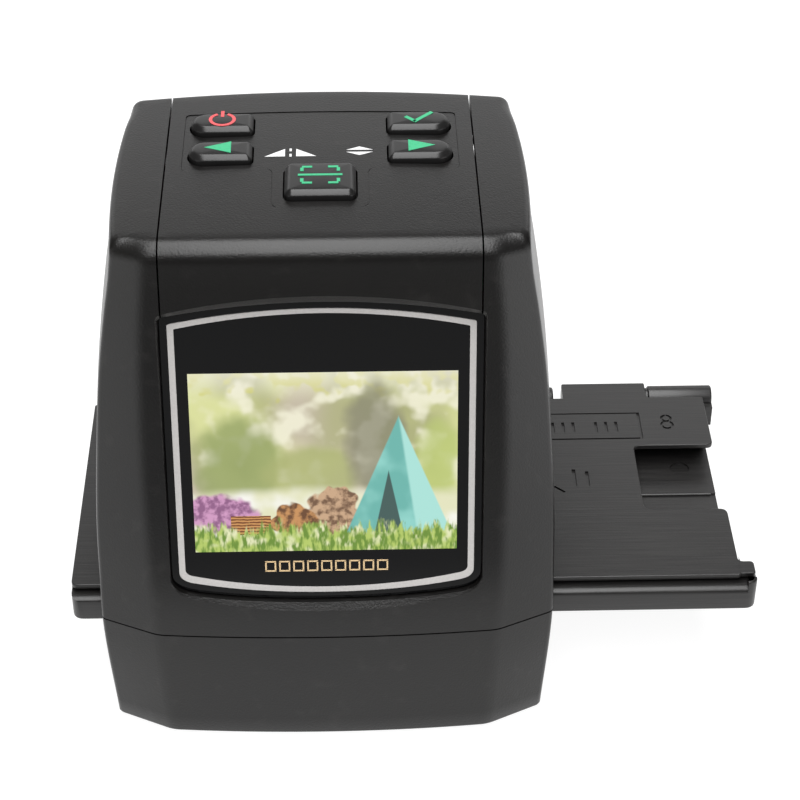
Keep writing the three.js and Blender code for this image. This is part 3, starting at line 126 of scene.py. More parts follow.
class Finish:
    """One material; node() makes any node in it and hands back its value."""

    def __init__(self, name):
        self.material = bpy.data.materials.new(name)
        self.material.use_nodes = True
        self.tree = self.material.node_tree
        self.shader = next(n for n in self.tree.nodes if n.type == "BSDF_PRINCIPLED")
        self.place = self.node("ShaderNodeTexCoord", output="Object")
        self.x, self.y, self.z = (
            self.node("ShaderNodeSeparateXYZ", {}, {0: self.place}, axis) for axis in "XYZ"
        )

    def node(self, kind, settings={}, inputs={}, output=0):
        made = self.tree.nodes.new(kind)
        for key, value in settings.items():
            setattr(made, key, value)
        for key, value in inputs.items():
            self.feed(made.inputs[key], value)
        return Value(self, made.outputs[output])

    def feed(self, socket, value):
        if isinstance(value, Value):
            self.tree.links.new(value.socket, socket)
        elif socket.type == "RGBA":
            socket.default_value = (*value, 1)
        else:
            socket.default_value = value

    def noise(self, scale, detail=2.0, stretch=(1, 1, 1), roughness=0.5):
        place = self.node("ShaderNodeMapping", {}, {"Vector": self.place, "Scale": stretch})
        inputs = {"Vector": place, "Scale": scale, "Detail": detail, "Roughness": roughness}
        return self.node("ShaderNodeTexNoise", {}, inputs)

    def blend(self, factor, first, second):
        return self.node("ShaderNodeMix", {"data_type": "RGBA"}, {0: factor, 6: first, 7: second}, 2)

    def bump(self, height, distance, strength=1.0):
        return self.node("ShaderNodeBump", {}, {"Height": height, "Distance": distance, "Strength": strength})

    def set(self, **inputs):
        for key, value in inputs.items():
            self.feed(self.shader.inputs[key.replace("_", " ")], value)


def as_object(name, mesh):
    data = bpy.data.meshes.new(name)
    mesh.to_mesh(data)
    mesh.free()
    made = bpy.data.objects.new(name, data)
    bpy.context.scene.collection.objects.link(made)
    return made


floor_mesh = bmesh.new()
bmesh.ops.create_grid(floor_mesh, x_segments=1, y_segments=1, size=3)
bmesh.ops.translate(floor_mesh, vec=(0, 0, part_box("foot_1")[0].z), verts=floor_mesh.verts)
floor = as_object("floor", floor_mesh)
even_glow, left_glow, right_glow, shaded_glow = ((tone,) * 3 for tone in (1, 1.25, 1.8, 0.06))

paper = Finish("pale_paper")
ahead = 0.02 - paper.y
shade = ahead.smooth(0.1, 0.2) * (1 - (abs(paper.x) / ahead).smooth(0.4, 0.9))
beside = abs(paper.x).smooth(0.1, 0.24) * ahead.smooth(0.0, 0.1)
glow = paper.blend(beside, even_glow, paper.blend(paper.x > 0, left_glow, right_glow))
paper.set(
    Base_Color=(0.2, 0.2, 0.2),
    Roughness=0.9,
    Specular_IOR_Level=0.1,
    Emission_Color=paper.blend(shade, glow, shaded_glow),
    Emission_Strength=0.92,
)
floor.data.materials.append(paper.material)
floor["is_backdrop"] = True

world = bpy.data.worlds.new("room")
bpy.context.scene.world = world
world.use_nodes = True
room = world.node_tree.nodes["Background"].inputs
room["Color"].default_value = (1, 1, 1, 1)
room["Strength"].default_value = 0.07

for name, place, aim, size, power in (
    ("light_over", (0.0, -0.2, 0.98), (0, -0.03, 0.1), (0.6, 1.4), 18),
    ("light_behind", (0.0, 0.38, 0.24), (0, 0, 0.1), (0.8, 0.24), 0.75),
    ("light_left", (-0.6, -0.49, 0.16), (0, 0, 0.06), (0.5, 0.3), 0.45),
    ("light_right", (0.6, -0.49, 0.16), (0, 0, 0.06), (0.5, 0.3), 0.75),
):
    lamp = bpy.data.objects.new(name, bpy.data.lights.new(name, "AREA"))
    lamp.data.shape = "RECTANGLE"
    lamp.data.size, lamp.data.size_y = size
    lamp.data.energy = power
    lamp.location = place
    lamp.rotation_euler = (Vector(aim) - Vector(place)).to_track_quat("-Z", "Y").to_euler()
    bpy.context.scene.collection.objects.link(lamp)

# Case form
# The case is moulded in black plastic with sides that bulge a little, a front that bows,
# and wing facets at its front corners; its outline is a table of shares over the height.
case_width, case_depth, case_height = 86, 84.4, 102
case_wall = 2
side_bulge, front_bow, rear_bow = 0.9, 1.3, 1.2
crown_across, crown_along = 1.54, 0.5
parting_height, seam_gap = 24.9, 0.3
facet_reach, side_edge_reach, rear_corner_reach = 1.4, 0.8, 2.5
bottom_chamfer = 0.6
case_shares = (
    (0, 0.702, -0.95, 0.947, -0.829, 0.93, 0.985),
    (0.244, 0.73, -0.943, 0.979, -0.829, 0.962, 0.971),
    (0.333, 0.742, -0.922, 0.977, -0.794, 0.96, 0.965),
    (0.441, 0.749, -0.87, 0.972, -0.751, 0.953, 0.945),
    (0.588, 0.754, -0.793, 0.949, -0.692, 0.932, 0.88),
    (0.735, 0.746, -0.717, 0.9178, -0.633, 0.8988, 0.785),
    (0.853, 0.732, -0.657, 0.878, -0.588, 0.86, 0.7),
    (0.922, 0.717, -0.622, 0.85, -0.559, 0.834, 0.65),
    (1, 0.702, -0.583, 0.83, -0.53, 0.812, 0.593),
)


def case_section(height):
    """The half widths and half depths of the case at a height, on a smooth curve through the table."""
    share = min(max(height / case_height, 0), 1)
    last = len(case_shares) - 1
    low = max(i for i in range(last) if case_shares[i][0] <= share)
    before, start, end, after = (case_shares[max(0, min(i, last))] for i in range(low - 1, low + 3))
    span = end[0] - start[0]
    t = (share - start[0]) / span
    half = (case_width / 2, case_depth / 2)
    values = []
    for k in range(1, 7):
        slope_in = slope_out = (end[k] - start[k]) / span
        if before is not start:
            slope_in = (slope_in + (start[k] - before[k]) / (start[0] - before[0])) / 2
        if after is not end:
            slope_out = (slope_out + (after[k] - end[k]) / (after[0] - end[0])) / 2
        value = (2 * t**3 - 3 * t**2 + 1) * start[k] + (t**3 - 2 * t**2 + t) * span * slope_in
        value += (3 * t**2 - 2 * t**3) * end[k] + (t**3 - t**2) * span * slope_out
        values.append(value * half[(k - 1) % 2])
    return values


def bezier(start, pull, end, steps):
    shares = [i / steps for i in range(steps + 1)]
    return [start * (1 - t) ** 2 + pull * 2 * t * (1 - t) + end * t**2 for t in shares]


def soft_corner(before, corner, after, reach, steps):
    start = corner + (before - corner).normalized() * reach
    end = corner + (after - corner).normalized() * reach
    return bezier(start, corner, end, steps)


def half_outline(height, inset):
    """Points from the middle of the front round to the middle of the back, each with its top edge radius."""
    front_x, front_y, side_x, side_y, rear_x, rear_y = case_section(height)
    front = Vector((front_x - inset * 0.35, front_y + inset))
    side = Vector((side_x - inset, side_y + inset * 0.6))
    reach = max(rear_corner_reach - inset, 0.3)
    rear = Vector((rear_x - inset, rear_y - inset))
    rear_side = rear - Vector((0, reach))

    def bowed(x):
        return Vector((x, front.y - front_bow * (1 - (x / front.x) ** 2)))

    outline = [(bowed(front.x * 0.82 * i / 9), 4.0) for i in range(10)]
    outline += [(p, 4.0) for p in soft_corner(bowed(front.x * 0.82), front, side, facet_reach, 7)]
    middle = (side + rear_side) / 2
    middle.x = max(side.x, rear_side.x) + side_bulge
    flank = bezier(side, middle * 2 - (side + rear_side) / 2, rear_side, 18)
    softened = soft_corner(front, side, flank[3], side_edge_reach, 4)
    outline += [(p, radius) for p, radius in zip(softened, (4.0, 3.6, 3.0, 2.4, 1.9))]
    outline += [(p, radius) for p, radius in zip(flank[1:-1], [1.5, 1.3] + [1.2] * 13 + [1.6, 2.2])]
    outline += [(p, 1.6) for p in soft_corner(rear_side, rear, Vector((0, rear.y)), reach, 7)]
    start = rear.x - reach
    outline += [
        (Vector((start * (1 - i / 8), rear.y + rear_bow * (1 - (1 - i / 8) ** 2))), 1.6) for i in range(1, 9)
    ]
    return outline


def top_height(x, y):
    return case_height - crown_across * (2 * x / case_width) ** 2 - crown_along * (2 * y / case_depth) ** 2


def edge_loop(mesh, points):
    verts = [mesh.verts.new(p) for p in points]
    return [mesh.edges.new(pair) for pair in zip(verts, verts[1:] + verts[:1])]


def mirrored(half):
    """Half an outline, from one end of its middle line to the other, and its mirror image."""
    return half + [Vector((-p.x, *p[1:])) for p in half[-2:0:-1]]


def bridge(mesh, loops, split_ends=False):
    """Skins consecutive loops of edges and closes both ends, with triangles if split_ends is set."""
    for lower, upper in zip(loops, loops[1:]):
        bmesh.ops.bridge_loops(mesh, edges=lower + upper)
    ends = [f for end in (loops[0], loops[-1]) for f in bmesh.ops.contextual_create(mesh, geom=end)["faces"]]
    if split_ends:
        bmesh.ops.triangulate(mesh, faces=ends)
    bmesh.ops.recalc_face_normals(mesh, faces=mesh.faces)


def case_form(inset):
    """The closed form of the case, its walls moved in by inset."""
    foot = max(inset, 0)
    levels = [(foot, bottom_chamfer + 0.1), (foot, bottom_chamfer)]
    levels += [(foot + bottom_chamfer * 0.3, bottom_chamfer * 0.3), (foot + bottom_chamfer, 0)]
    levels += [(height, 0) for height in range(4, 96, 3) if height > foot + 1]
    rings = [
        [Vector((p.x, p.y, height)) for p, _ in half_outline(height, inset + extra)]
        for height, extra in levels
    ]
    roots = half_outline(case_height - 4, inset)
    steps = 8
    for step in range(steps + 1):
        angle = step / steps * math.pi / 2
        edge = []
        for index, (root, corner) in enumerate(roots):
            radius = max(corner - inset, 0.6)
            height = top_height(root.x, root.y) - radius
            p = half_outline(height, inset + radius * (1 - math.cos(angle)))[index][0]
            z = top_height(p.x, p.y) - inset - radius * (1 - math.sin(angle))
            edge.append(Vector((p.x, p.y, z)))
        rings.append(edge)
    middle = (edge[0].y + edge[-1].y) / 2
    for share in (0.94, 0.82, 0.66, 0.48, 0.3, 0.12):
        flat = [(p.x * share, middle + (p.y - middle) * share) for p in edge]
        rings.append([Vector((x, y, top_height(x, y) - inset)) for x, y in flat])
    mesh = bmesh.new()
    bridge(mesh, [edge_loop(mesh, mirrored(ring)) for ring in rings])
    return mesh


def copy_of(original, name):
    made = bpy.data.objects.new(name, original.data.copy())
    bpy.context.scene.collection.objects.link(made)
    return made


def discard(*objects):
    for each in objects:
        bpy.data.meshes.remove(each.data)


def combine(piece, other, operation, keep=False):
    """Joins, cuts or intersects piece with other, and leaves the result in piece's own mesh."""
    modifier = piece.modifiers.new("combine", "BOOLEAN")
    modifier.operation = operation
    modifier.solver = "MANIFOLD"
    modifier.object = other
    shown = piece.evaluated_get(bpy.context.evaluated_depsgraph_get())
    result = bpy.data.meshes.new_from_object(shown)
    old = piece.data
    piece.modifiers.clear()
    piece.data = result
    bpy.data.meshes.remove(old)
    if not keep:
        discard(other)
    return piece


def cut(piece, *tools):
    for tool in tools:
        combine(piece, tool, "DIFFERENCE")
    return piece


def join(piece, *parts):
    for part in parts:
        combine(piece, part, "UNION")
    return piece


def within(piece, region):
    """What lies inside a region that is kept for other cuts."""
    return combine(piece, region, "INTERSECT", keep=True)


def block(x0, x1, y0, y1, z0, z1):
    mesh = bmesh.new()
    bmesh.ops.create_cube(mesh, size=1)
    bmesh.ops.scale(mesh, vec=(x1 - x0, y1 - y0, z1 - z0), verts=mesh.verts)
    bmesh.ops.translate(mesh, vec=((x0 + x1) / 2, (y0 + y1) / 2, (z0 + z1) / 2), verts=mesh.verts)
    return as_object("block", mesh)


def prism(points, z0, z1):
    """An upright solid on a closed outline."""
    mesh = bmesh.new()
    verts = [mesh.verts.new((x, y, z0)) for x, y in points]
    face = mesh.faces.new(verts)
    raised = bmesh.ops.extrude_face_region(mesh, geom=[face])["geom"]
    top = [v for v in raised if isinstance(v, bmesh.types.BMVert)]
    bmesh.ops.translate(mesh, vec=(0, 0, z1 - z0), verts=top)
    bmesh.ops.recalc_face_normals(mesh, faces=mesh.faces)
    return as_object("prism", mesh)


def post(x, y, z0, z1, radius, sides=32):
    mesh = bmesh.new()
    bmesh.ops.create_cone(
        mesh, cap_ends=True, segments=sides, radius1=radius, radius2=radius, depth=z1 - z0
    )
    bmesh.ops.translate(mesh, vec=(x, y, (z0 + z1) / 2), verts=mesh.verts)
    return as_object("post", mesh)


def settle(piece, body, slot, finish, *nodes, angle=30):
    """Gives a finished piece its metres, shading, material and body, and hides the nodes it stands for; slot
    is not used.
    """
    piece.data.transform(Matrix.Scale(0.001, 4))
    piece.data.shade_smooth()
    piece.data.set_sharp_from_angle(angle=math.radians(angle))
    piece.data.materials.clear()
    piece.data.materials.append(finish.material)
    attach(piece, body)
    if nodes:
        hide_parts(*nodes)
    return piece

# Case plastic
# ABS with a fine spark texture: nearly black, a little uneven in colour and gloss where it
# has been handled, with a grain of about a third of a millimetre.


def srgb(red, green, blue):
    """A colour as it is read off a screen, from 0 to 255, in the renderer's linear numbers."""
    shares = (part / 255 for part in (red, green, blue))
    return tuple(s / 12.92 if s <= 0.04045 else ((s + 0.055) / 1.055) ** 2.4 for s in shares)

case_plastic = Finish("case_plastic")
case_mottle = case_plastic.noise(38, 3)
case_grain = case_plastic.noise(2700, 2)
case_scuff = case_plastic.noise(260, 4, (1, 3, 1)).smooth(0.56, 0.78)
case_colour = case_plastic.blend(case_mottle.smooth(0.3, 0.7), srgb(16, 15, 15), srgb(20, 19, 18))
case_colour = case_plastic.blend(case_scuff * 0.25, case_colour, srgb(48, 46, 45))
case_plastic.set(
    Base_Color=case_colour,
    Roughness=case_mottle * 0.06 + case_grain * 0.06 + 0.25,
    Specular_IOR_Level=0.38,
    Normal=case_plastic.bump(case_grain, 0.00006, 0.6),
)

# Window outline and the leaning plane that it lies on
# The screen window lies in a bevelled pocket of the front, 12.7 degrees off upright; the
# points are across and up that plane.
screen_plane = Matrix.Translation((0, -38.8, 30)) @ Matrix.Rotation(math.radians(90 - 12.7), 4, "X")
window_half_width, window_side_top, window_top = 28.1, 58.9, 61.6
window_side_bottom, window_bottom, window_corner = 5.5, 2.5, 4.0
window_thickness, window_gap = 1.2, 0.25
window_back = -window_thickness - 0.15
flare_start, flare_depth, flare_side, flare_top, flare_bottom = 1.2, 4.0, 1.0, 2.7, 5.2
bezel_thickness, bezel_margin = 1.5, 2.2


def window_outline(grow, grow_top=None, grow_bottom=None, top_corner=0.9):
    grow_top = grow if grow_top is None else grow_top
    grow_bottom = grow if grow_bottom is None else grow_bottom
    half, top, bottom = window_half_width + grow, window_top + grow_top, window_bottom - grow_bottom
    side_top, side_bottom = window_side_top + grow_top, window_side_bottom - grow_bottom
    radius = max(window_corner + grow, 0.4)
    arch = bezier(Vector((half, side_top)), Vector((half * 0.5, top)), Vector((0, top)), 20)
    corner = bezier(arch[0] - Vector((0, top_corner)), arch[0], arch[1].lerp(arch[0], 0.3), 4)
    low = Vector((half - radius, side_bottom - radius * 0.3))
    sag = bezier(Vector((0, bottom)), Vector((half * 0.5, bottom)), low, 14)
    pull, end = (Vector((half, side_bottom + radius * share)) for share in (-0.12, 0.55))
    turn = bezier(low, pull, end, 8)
    flank = [end.lerp(corner[0], i / 12) for i in range(1, 12)]
    return mirrored(sag + turn[1:] + flank + corner + arch[1:])


def screen_plate(points, back, front):
    plate = prism(points, back, front)
    plate.data.transform(screen_plane)
    return plate


def screen_loft(*outlines):
    """A solid between outlines, each given with its distance out of the screen plane."""
    mesh = bmesh.new()
    rings = [[screen_plane @ Vector((p.x, p.y, out)) for p in points] for points, out in outlines]
    bridge(mesh, [edge_loop(mesh, ring) for ring in rings])
    return as_object("loft", mesh)


def rectangle(x0, x1, y0, y1):
    return [Vector((x0, y0)), Vector((x1, y0)), Vector((x1, y1)), Vector((x0, y1))]


# Film holder slot
# The holder runs straight through the case, in a slot with 0.6 mm of room all round.
far = 86
slot_front, slot_back, slot_bottom, slot_top = -29.1, 34.8, 17.9, 27.317
slot_sizes = (-far, far, slot_front, slot_back, slot_bottom, slot_top)
outer_form, inner_form, half_wall_form = (
    as_object(name, case_form(inset))
    for name, inset in (("outer_form", 0), ("inner_form", case_wall), ("half_wall_form", case_wall / 2))
)
case_shell = combine(copy_of(outer_form, "case_shell"), inner_form, "DIFFERENCE", keep=True)


def shell_between(name, z0, z1):
    return combine(copy_of(case_shell, name), block(-far, far, -far, far, z0, z1), "INTERSECT")


# Base housing
# The lower shell, moulded in one piece with the rails that the holder slides on, the fence
# in front of it and the four screw bosses.
rail_half_length, rail_width, fence_width, inner_floor = 37, 3.4, 2, 1
boss_places, boss_radius = ((-24, -34.4), (24, -34.4), (-26, 37), (26, 37)), 2.9
screw_bore, screw_head_bore, screw_head_depth = 1.4, 2.2, 7
foot_places, foot_radius, foot_depth = ((-31, -29), (31, -29), (-31, 33), (31, 33)), 4.5, 0.6


def inner_block(y0, y1, z1):
    return block(-rail_half_length, rail_half_length, y0, y1, inner_floor, z1)


def boss(x, y, z0, z1):
    return within(post(x, y, z0, z1, boss_radius), half_wall_form)


base = shell_between("base_shell", -30, parting_height)
for rail_start in (slot_front, slot_back - rail_width):
    join(base, inner_block(rail_start, rail_start + rail_width, slot_bottom))
join(base, within(inner_block(slot_front - fence_width, slot_front, parting_height), inner_form))
for x, y in boss_places:
    join(base, boss(x, y, inner_floor, parting_height))
cut(base, block(*slot_sizes))
for x, y in boss_places:
    cut(base, post(x, y, -3, screw_head_depth, screw_head_bore))
    cut(base, post(x, y, -3, parting_height + 1, screw_bore, 20))
for x, y in foot_places:
    cut(base, post(x, y, -3, foot_depth, foot_radius, 48))
settle(base, "case", "case_plastic", case_plastic, "base_housing")

# Main housing
# The upper shell carries the window pocket and the openings for the top and rear covers.
cover_half_width, cover_rear_height, cover_front_height = 27.57, 95.0, 86.46
rear_cover_half_width, rear_cover_bottom, rear_cover_top = 29.0, 37.0, 92.4
display_half_width, display_bottom, display_top = 26.2, 7.1, 50.1
fit_gap, boss_top = 0.3, 34


def cover_region(half_width, rear_height):
    over = block(-half_width, half_width, 0, far, rear_height, 132)
    return join(over, block(-half_width, half_width, -far, 0.01, cover_front_height, 132))


def rear_opening(grow):
    half, radius = rear_cover_half_width + grow, 3.0
    low, high = rear_cover_bottom - grow + radius, rear_cover_top + grow - radius
    points = []
    inner = half - radius
    for quarter, (x, z) in enumerate(((inner, high), (-inner, high), (-inner, low), (inner, low))):
        turns = [math.pi / 2 * (quarter + i / 6) for i in range(7)]
        points += [Vector((x + radius * math.cos(a), z + radius * math.sin(a))) for a in turns]
    solid = prism(points, -far, -case_depth / 8)
    solid.data.transform(Matrix.Rotation(math.pi / 2, 4, "X"))
    return solid


def bezel_frame():
    """The frame round the window, which joins the case wall and carries the window on its back ledge."""
    frame_plate = screen_plate(window_outline(bezel_margin), window_back - bezel_thickness, flare_depth)
    half = display_half_width + fit_gap
    hole = rectangle(-half, half, display_bottom - fit_gap, display_top + fit_gap)
    return within(cut(frame_plate, screen_plate(hole, -30, 30)), half_wall_form)


def cut_window_pocket(piece):
    inner = window_outline(window_gap)
    outer = window_outline(window_gap + flare_side, window_gap + flare_top, window_gap + flare_bottom)
    flare = screen_loft((inner, flare_start), (outer, flare_depth))
    return cut(piece, flare, screen_plate(inner, window_back, flare_depth * 2))


main = join(shell_between("main_shell", parting_height + seam_gap, 132), bezel_frame())
cut(main, cover_region(cover_half_width + seam_gap, cover_rear_height))
for x, y in boss_places:
    join(main, boss(x, y, parting_height + seam_gap, boss_top))
cut(main, block(*slot_sizes), rear_opening(seam_gap))
cut_window_pocket(main)
settle(main, "case", "case_plastic", case_plastic, "main_housing")

# Rear cover
# A screwed-on moulding with the openings for the memory card, the USB plug and the video
# plug, and two sunk holes for its screws.
port_floor = 82.0
card_port, usb_port, video_port = (-10.5, 14.5, 0.25, 2.95), (-23.9, -16.1, 0.1, 3.7), (22.5, 3, 2.2)
rear_screw_x, rear_screw_z = 25, 43


def bar_along_y(x, y0, z, radius):
    bar = post(0, 0, y0, far, radius)
    bar.data.transform(Matrix.Translation((x, 0, z)) @ Matrix.Rotation(-math.pi / 2, 4, "X"))
    return bar


back_cover = combine(copy_of(case_shell, "rear_panel"), rear_opening(0), "INTERSECT")
for left, right, low, high in (card_port, usb_port):
    cut(back_cover, block(left, right, 5, far, port_floor + low, port_floor + high))
cut(back_cover, bar_along_y(video_port[0], 5, port_floor + video_port[1], video_port[2]))
for x in (-rear_screw_x, rear_screw_x):
    cut(back_cover, bar_along_y(x, 5, rear_screw_z, screw_bore))
    cut(back_cover, bar_along_y(x, case_section(rear_screw_z)[5] - 1, rear_screw_z, screw_head_bore))
settle(back_cover, "case", "case_plastic", case_plastic, "rear_cover")

# Top cover
# A separate moulding between two long seams, from the brow over the window to the back
# edge, with a shallow T-shaped panel for the push buttons.
panel_half_width, panel_back, panel_front = 24.8, 18.3, -1.2
panel_neck, panel_neck_front, panel_radius = 8.6, -14.1, 2.0
panel_recess, panel_groove = 0.12, 0.15
buttons = {
    "power": (-17.9, 13.3, 11.38, 6.0, "left"),
    "ok": (17.9, 13.3, 11.38, 6.0, "right"),
    "left": (-17.9, 3.45, 11.38, 6.0, "left"),
    "right": (17.9, 3.45, 11.38, 6.0, "right"),
    "scan": (0, -6.65, 12.54, 10.3, "none"),
}


def rounded_outline(corners, steps=6):
    """A closed outline through corners given as (x, y, radius)."""
    points = []
    for i, (x, y, radius) in enumerate(corners):
        corner = Vector((x, y))
        before, after = Vector(corners[i - 1][:2]), Vector(corners[(i + 1) % len(corners)][:2])
        points += soft_corner(before, corner, after, radius, steps) if radius else [corner]
    return points


def button_outline(name, grow):
    """A button seen from above: half round at its outer end, or with four small corners."""
    x, y, width, depth, round_end = buttons[name]
    half_width, half_depth = width / 2 + grow, depth / 2 + grow
    points = []
    for quarter, (sx, sy) in enumerate(((1, 1), (-1, 1), (-1, -1), (1, -1))):
        is_round = (round_end == "right" and sx > 0) or (round_end == "left" and sx < 0)
        radius = half_depth - 0.01 if is_round else max((1.4 if name == "scan" else 0.8) + grow, 0.25)
        turns = [math.pi / 2 * (quarter + i / 8) for i in range(9)]
        cx, cy = x + sx * (half_width - radius), y + sy * (half_depth - radius)
        points += [Vector((cx + radius * math.cos(a), cy + radius * math.sin(a))) for a in turns]
    return points


cover_span = (cover_half_width, cover_rear_height + seam_gap)
above, below = 132, 98
lid_cover = combine(copy_of(case_shell, "cover_panel"), cover_region(*cover_span), "INTERSECT")
join(lid_cover, combine(bezel_frame(), cover_region(*cover_span), "INTERSECT"))
cut_window_pocket(lid_cover)
panel_right = [
    (panel_neck, panel_neck_front, panel_radius),
    (panel_neck, panel_front, panel_radius),
    (panel_half_width, panel_front, panel_radius / 2),
    (panel_half_width, panel_back, panel_radius / 2),
]
panel_corners = panel_right + [(-x, y, r) for x, y, r in panel_right[::-1]]
panel_outline = rounded_outline(panel_corners)
inner_outline = rounded_outline(
    [(x - math.copysign(panel_groove, x), y - math.copysign(panel_groove, y), r) for x, y, r in panel_corners]
)
cut(lid_cover, cut(prism(panel_outline, below, above), as_object("panel_floor", case_form(panel_recess))))
groove = cut(prism(panel_outline, below, above), prism(inner_outline, below - 1, above + 1))
cut(lid_cover, cut(groove, as_object("groove_floor", case_form(panel_recess + 0.1))))
for name in buttons:
    cut(lid_cover, prism(button_outline(name, 0.3), 92, above))
settle(lid_cover, "case", "case_plastic", case_plastic, "top_cover")
discard(outer_form, inner_form, half_wall_form, case_shell)

# Screen window
# A flat sheet of clear acrylic, printed black behind except over the display; the silver
# line is printed with it.
trim_margin, trim_width, ink_depth = 1.25, 1.12, 0.25
trim_inner = -trim_margin - trim_width
picture_half_width, picture_bottom, picture_top = 23.7, 12.4, 48.0


def dress(finish, share, first, second, gloss, relief=None, **others):
    """Two tones mixed by a share, a roughness, and a relief of height, depth and strength."""
    if relief:
        others["Normal"] = finish.bump(*relief)
    finish.set(Base_Color=finish.blend(share, srgb(*first), srgb(*second)), Roughness=gloss, **others)


window_gloss = Finish("window_acrylic")
window_dust = window_gloss.noise(900, 2).smooth(0.62, 0.8)
window_haze = window_gloss.noise(30, 3)
dress(
    window_gloss, window_haze, (7, 7, 8), (10, 10, 11),
    window_haze * 0.05 + window_dust * 0.06 + 0.03, Specular_IOR_Level=0.4,
)
groove = screen_plate(window_outline(0.02 - trim_margin), -ink_depth - 0.02, 1)
cut(groove, screen_plate(window_outline(trim_inner - 0.02), -2, 3))
opening = rectangle(-picture_half_width, picture_half_width, picture_bottom, picture_top)
pane = cut(screen_plate(window_outline(0), -window_thickness, 0), groove, screen_plate(opening, -5, 5))
pane.name = "window_pane"
settle(pane, "case", "window_acrylic", window_gloss, "screen_window")

silver_ink = Finish("silver_ink")
silver_flake = silver_ink.noise(2600, 2)
dress(
    silver_ink, silver_flake, (196, 193, 191), (220, 217, 214),
    silver_flake * 0.15 + 0.3, Metallic=silver_flake * 0.2 + 0.15,
)
outer = window_outline(-trim_margin, -trim_margin - 0.25, -trim_margin, 0.05)
inner = window_outline(trim_inner, trim_inner, trim_inner, 0.05)
trim = cut(screen_plate(outer, -ink_depth, 0.0), screen_plate(inner, -2, 3))
trim.name = "silver_line"
settle(trim, "case", "silver_ink", silver_ink, "window_trim")

# Push buttons
# Glossier black caps with rounded edges, each with a flange that keeps it in the cover and
# a stem over its switch.
button_plastic = Finish("button_plastic")
button_grain = button_plastic.noise(2600, 2)
button_polish = button_plastic.noise(160, 3)
dress(
    button_plastic, button_polish, (25, 25, 25), (33, 32, 32),
    button_polish * 0.08 + button_grain * 0.04 + 0.24, (button_grain, 0.00002, 0.25), Specular_IOR_Level=0.4,
)
flange_top, flange_bottom, stem_bottom = 99.08, 98.18, 95.58
button_rise, button_crown = 1.55, 0.12
button_bevel = ((1.1, 0), (0.9, 0.04), (0.74, 0.14), (0.26, 0.6), (0.11, 0.77), (0.03, 0.93), (0, 1.12))
button_tops = {}
for name, (x, y, *_) in buttons.items():
    button_tops[name] = top = top_height(x, y) + button_rise
    levels = [(flange_top - 0.4, 0), (top - 1.8, 0)]
    levels += [(top - drop, -inward) for drop, inward in button_bevel]
    rings = [[Vector((p.x, p.y, height)) for p in button_outline(name, grow)] for height, grow in levels]
    for share in (0.85, 0.6, 0.3):
        rise = Vector((0, 0, button_crown * (1 - share**2)))
        rings.append([Vector((x, y, top)).lerp(p, share) + rise for p in rings[len(levels) - 1]])
    mesh = bmesh.new()
    bridge(mesh, [edge_loop(mesh, ring) for ring in rings])
    cap = as_object("button_cap_" + name, mesh)
    join(cap, prism(button_outline(name, 0.9), flange_bottom, flange_top))
    join(cap, post(x, y, stem_bottom, flange_bottom + 0.3, 1.6, 24))
    settle(cap, f"button_{name}_body", "button_plastic", button_plastic, "button_" + name, angle=40)

# Display picture
# The lit face of the display, seen through the window: a bright out-of-focus meadow with a
# tent, rocks, heather and a woven basket, in greens, creams and teal.
picture = Finish("display_picture")
across = picture.x * 1000
up = (picture.z * 1000 - 42.1) / 34.7
blur_wide = picture.noise(75, 2, (1, 1, 1), 0.4)
blur_mid = picture.noise(190, 2, (1, 1, 1), 0.4)
blur_fine = picture.noise(420, 1)
distance_tint = picture.noise(50, 1, (1, 1, 0.6))
foliage = picture.blend(blur_wide.smooth(0.38, 0.62), srgb(178, 180, 128), srgb(224, 228, 160))
foliage = picture.blend(distance_tint.smooth(0.5, 0.66) * 0.8, foliage, srgb(206, 192, 178))
foliage = picture.blend(blur_mid.smooth(0.48, 0.66) * 0.85, foliage, srgb(250, 247, 222))
leaves = (blur_fine * up.smooth(0.55, 1.1)).smooth(0.36, 0.52)
foliage = picture.blend(leaves * 0.8, foliage, srgb(206, 204, 74))
scene_colour = picture.blend(up.smooth(0.82, 1.05) * 0.7, foliage, srgb(250, 247, 232))


def soft_patch(cx, cy, wide, tall, wobble, soft):
    """One inside a wavy oval of the picture, falling softly to nothing outside it."""
    reach = ((across - cx) / wide) ** 2 + ((up - cy) / tall) ** 2
    return 1 - (reach + (wobble - 0.5) * 1.6).smooth(1 - soft, 1 + soft)


for cx, cy, wide, tall, colour in (
    (-15, 0.5, 7.5, 0.26, (150, 164, 100)),
    (-2, 0.44, 8, 0.14, (176, 182, 118)),
    (9, 0.62, 5, 0.3, (142, 140, 116)),
    (20, 0.5, 4, 0.22, (190, 204, 118)),
):
    tree = soft_patch(cx, cy, wide, tall, blur_mid, 0.55) * 0.85
    scene_colour = picture.blend(tree, scene_colour, srgb(*colour))
meadow_line = blur_wide * 0.1 + 0.27
meadow = picture.blend(blur_mid.smooth(0.35, 0.7), srgb(233, 233, 196), srgb(253, 252, 244))
scene_colour = picture.blend(1 - up.smooth(meadow_line - 0.03, meadow_line + 0.05), scene_colour, meadow)
speckle = picture.noise(700, 3)
weave = abs((up * 60 + speckle) % 1 - 0.5)
for cx, cy, wide, tall, soft, dark, light in (
    (-19, 0.22, 6.5, 0.1, 0.3, (150, 100, 140), (216, 160, 200)),
    (1.5, 0.2, 5.2, 0.16, 0.12, (122, 92, 70), (208, 172, 138)),
    (-5.5, 0.17, 4.2, 0.1, 0.12, (112, 76, 50), (206, 150, 96)),
):
    ground = picture.blend(speckle.smooth(0.38, 0.62), srgb(*dark), srgb(*light))
    scene_colour = picture.blend(soft_patch(cx, cy, wide, tall, blur_fine, soft), scene_colour, ground)
tent_edge = abs(across - 13.2) / 9.6 + (up - 0.1) / 0.66
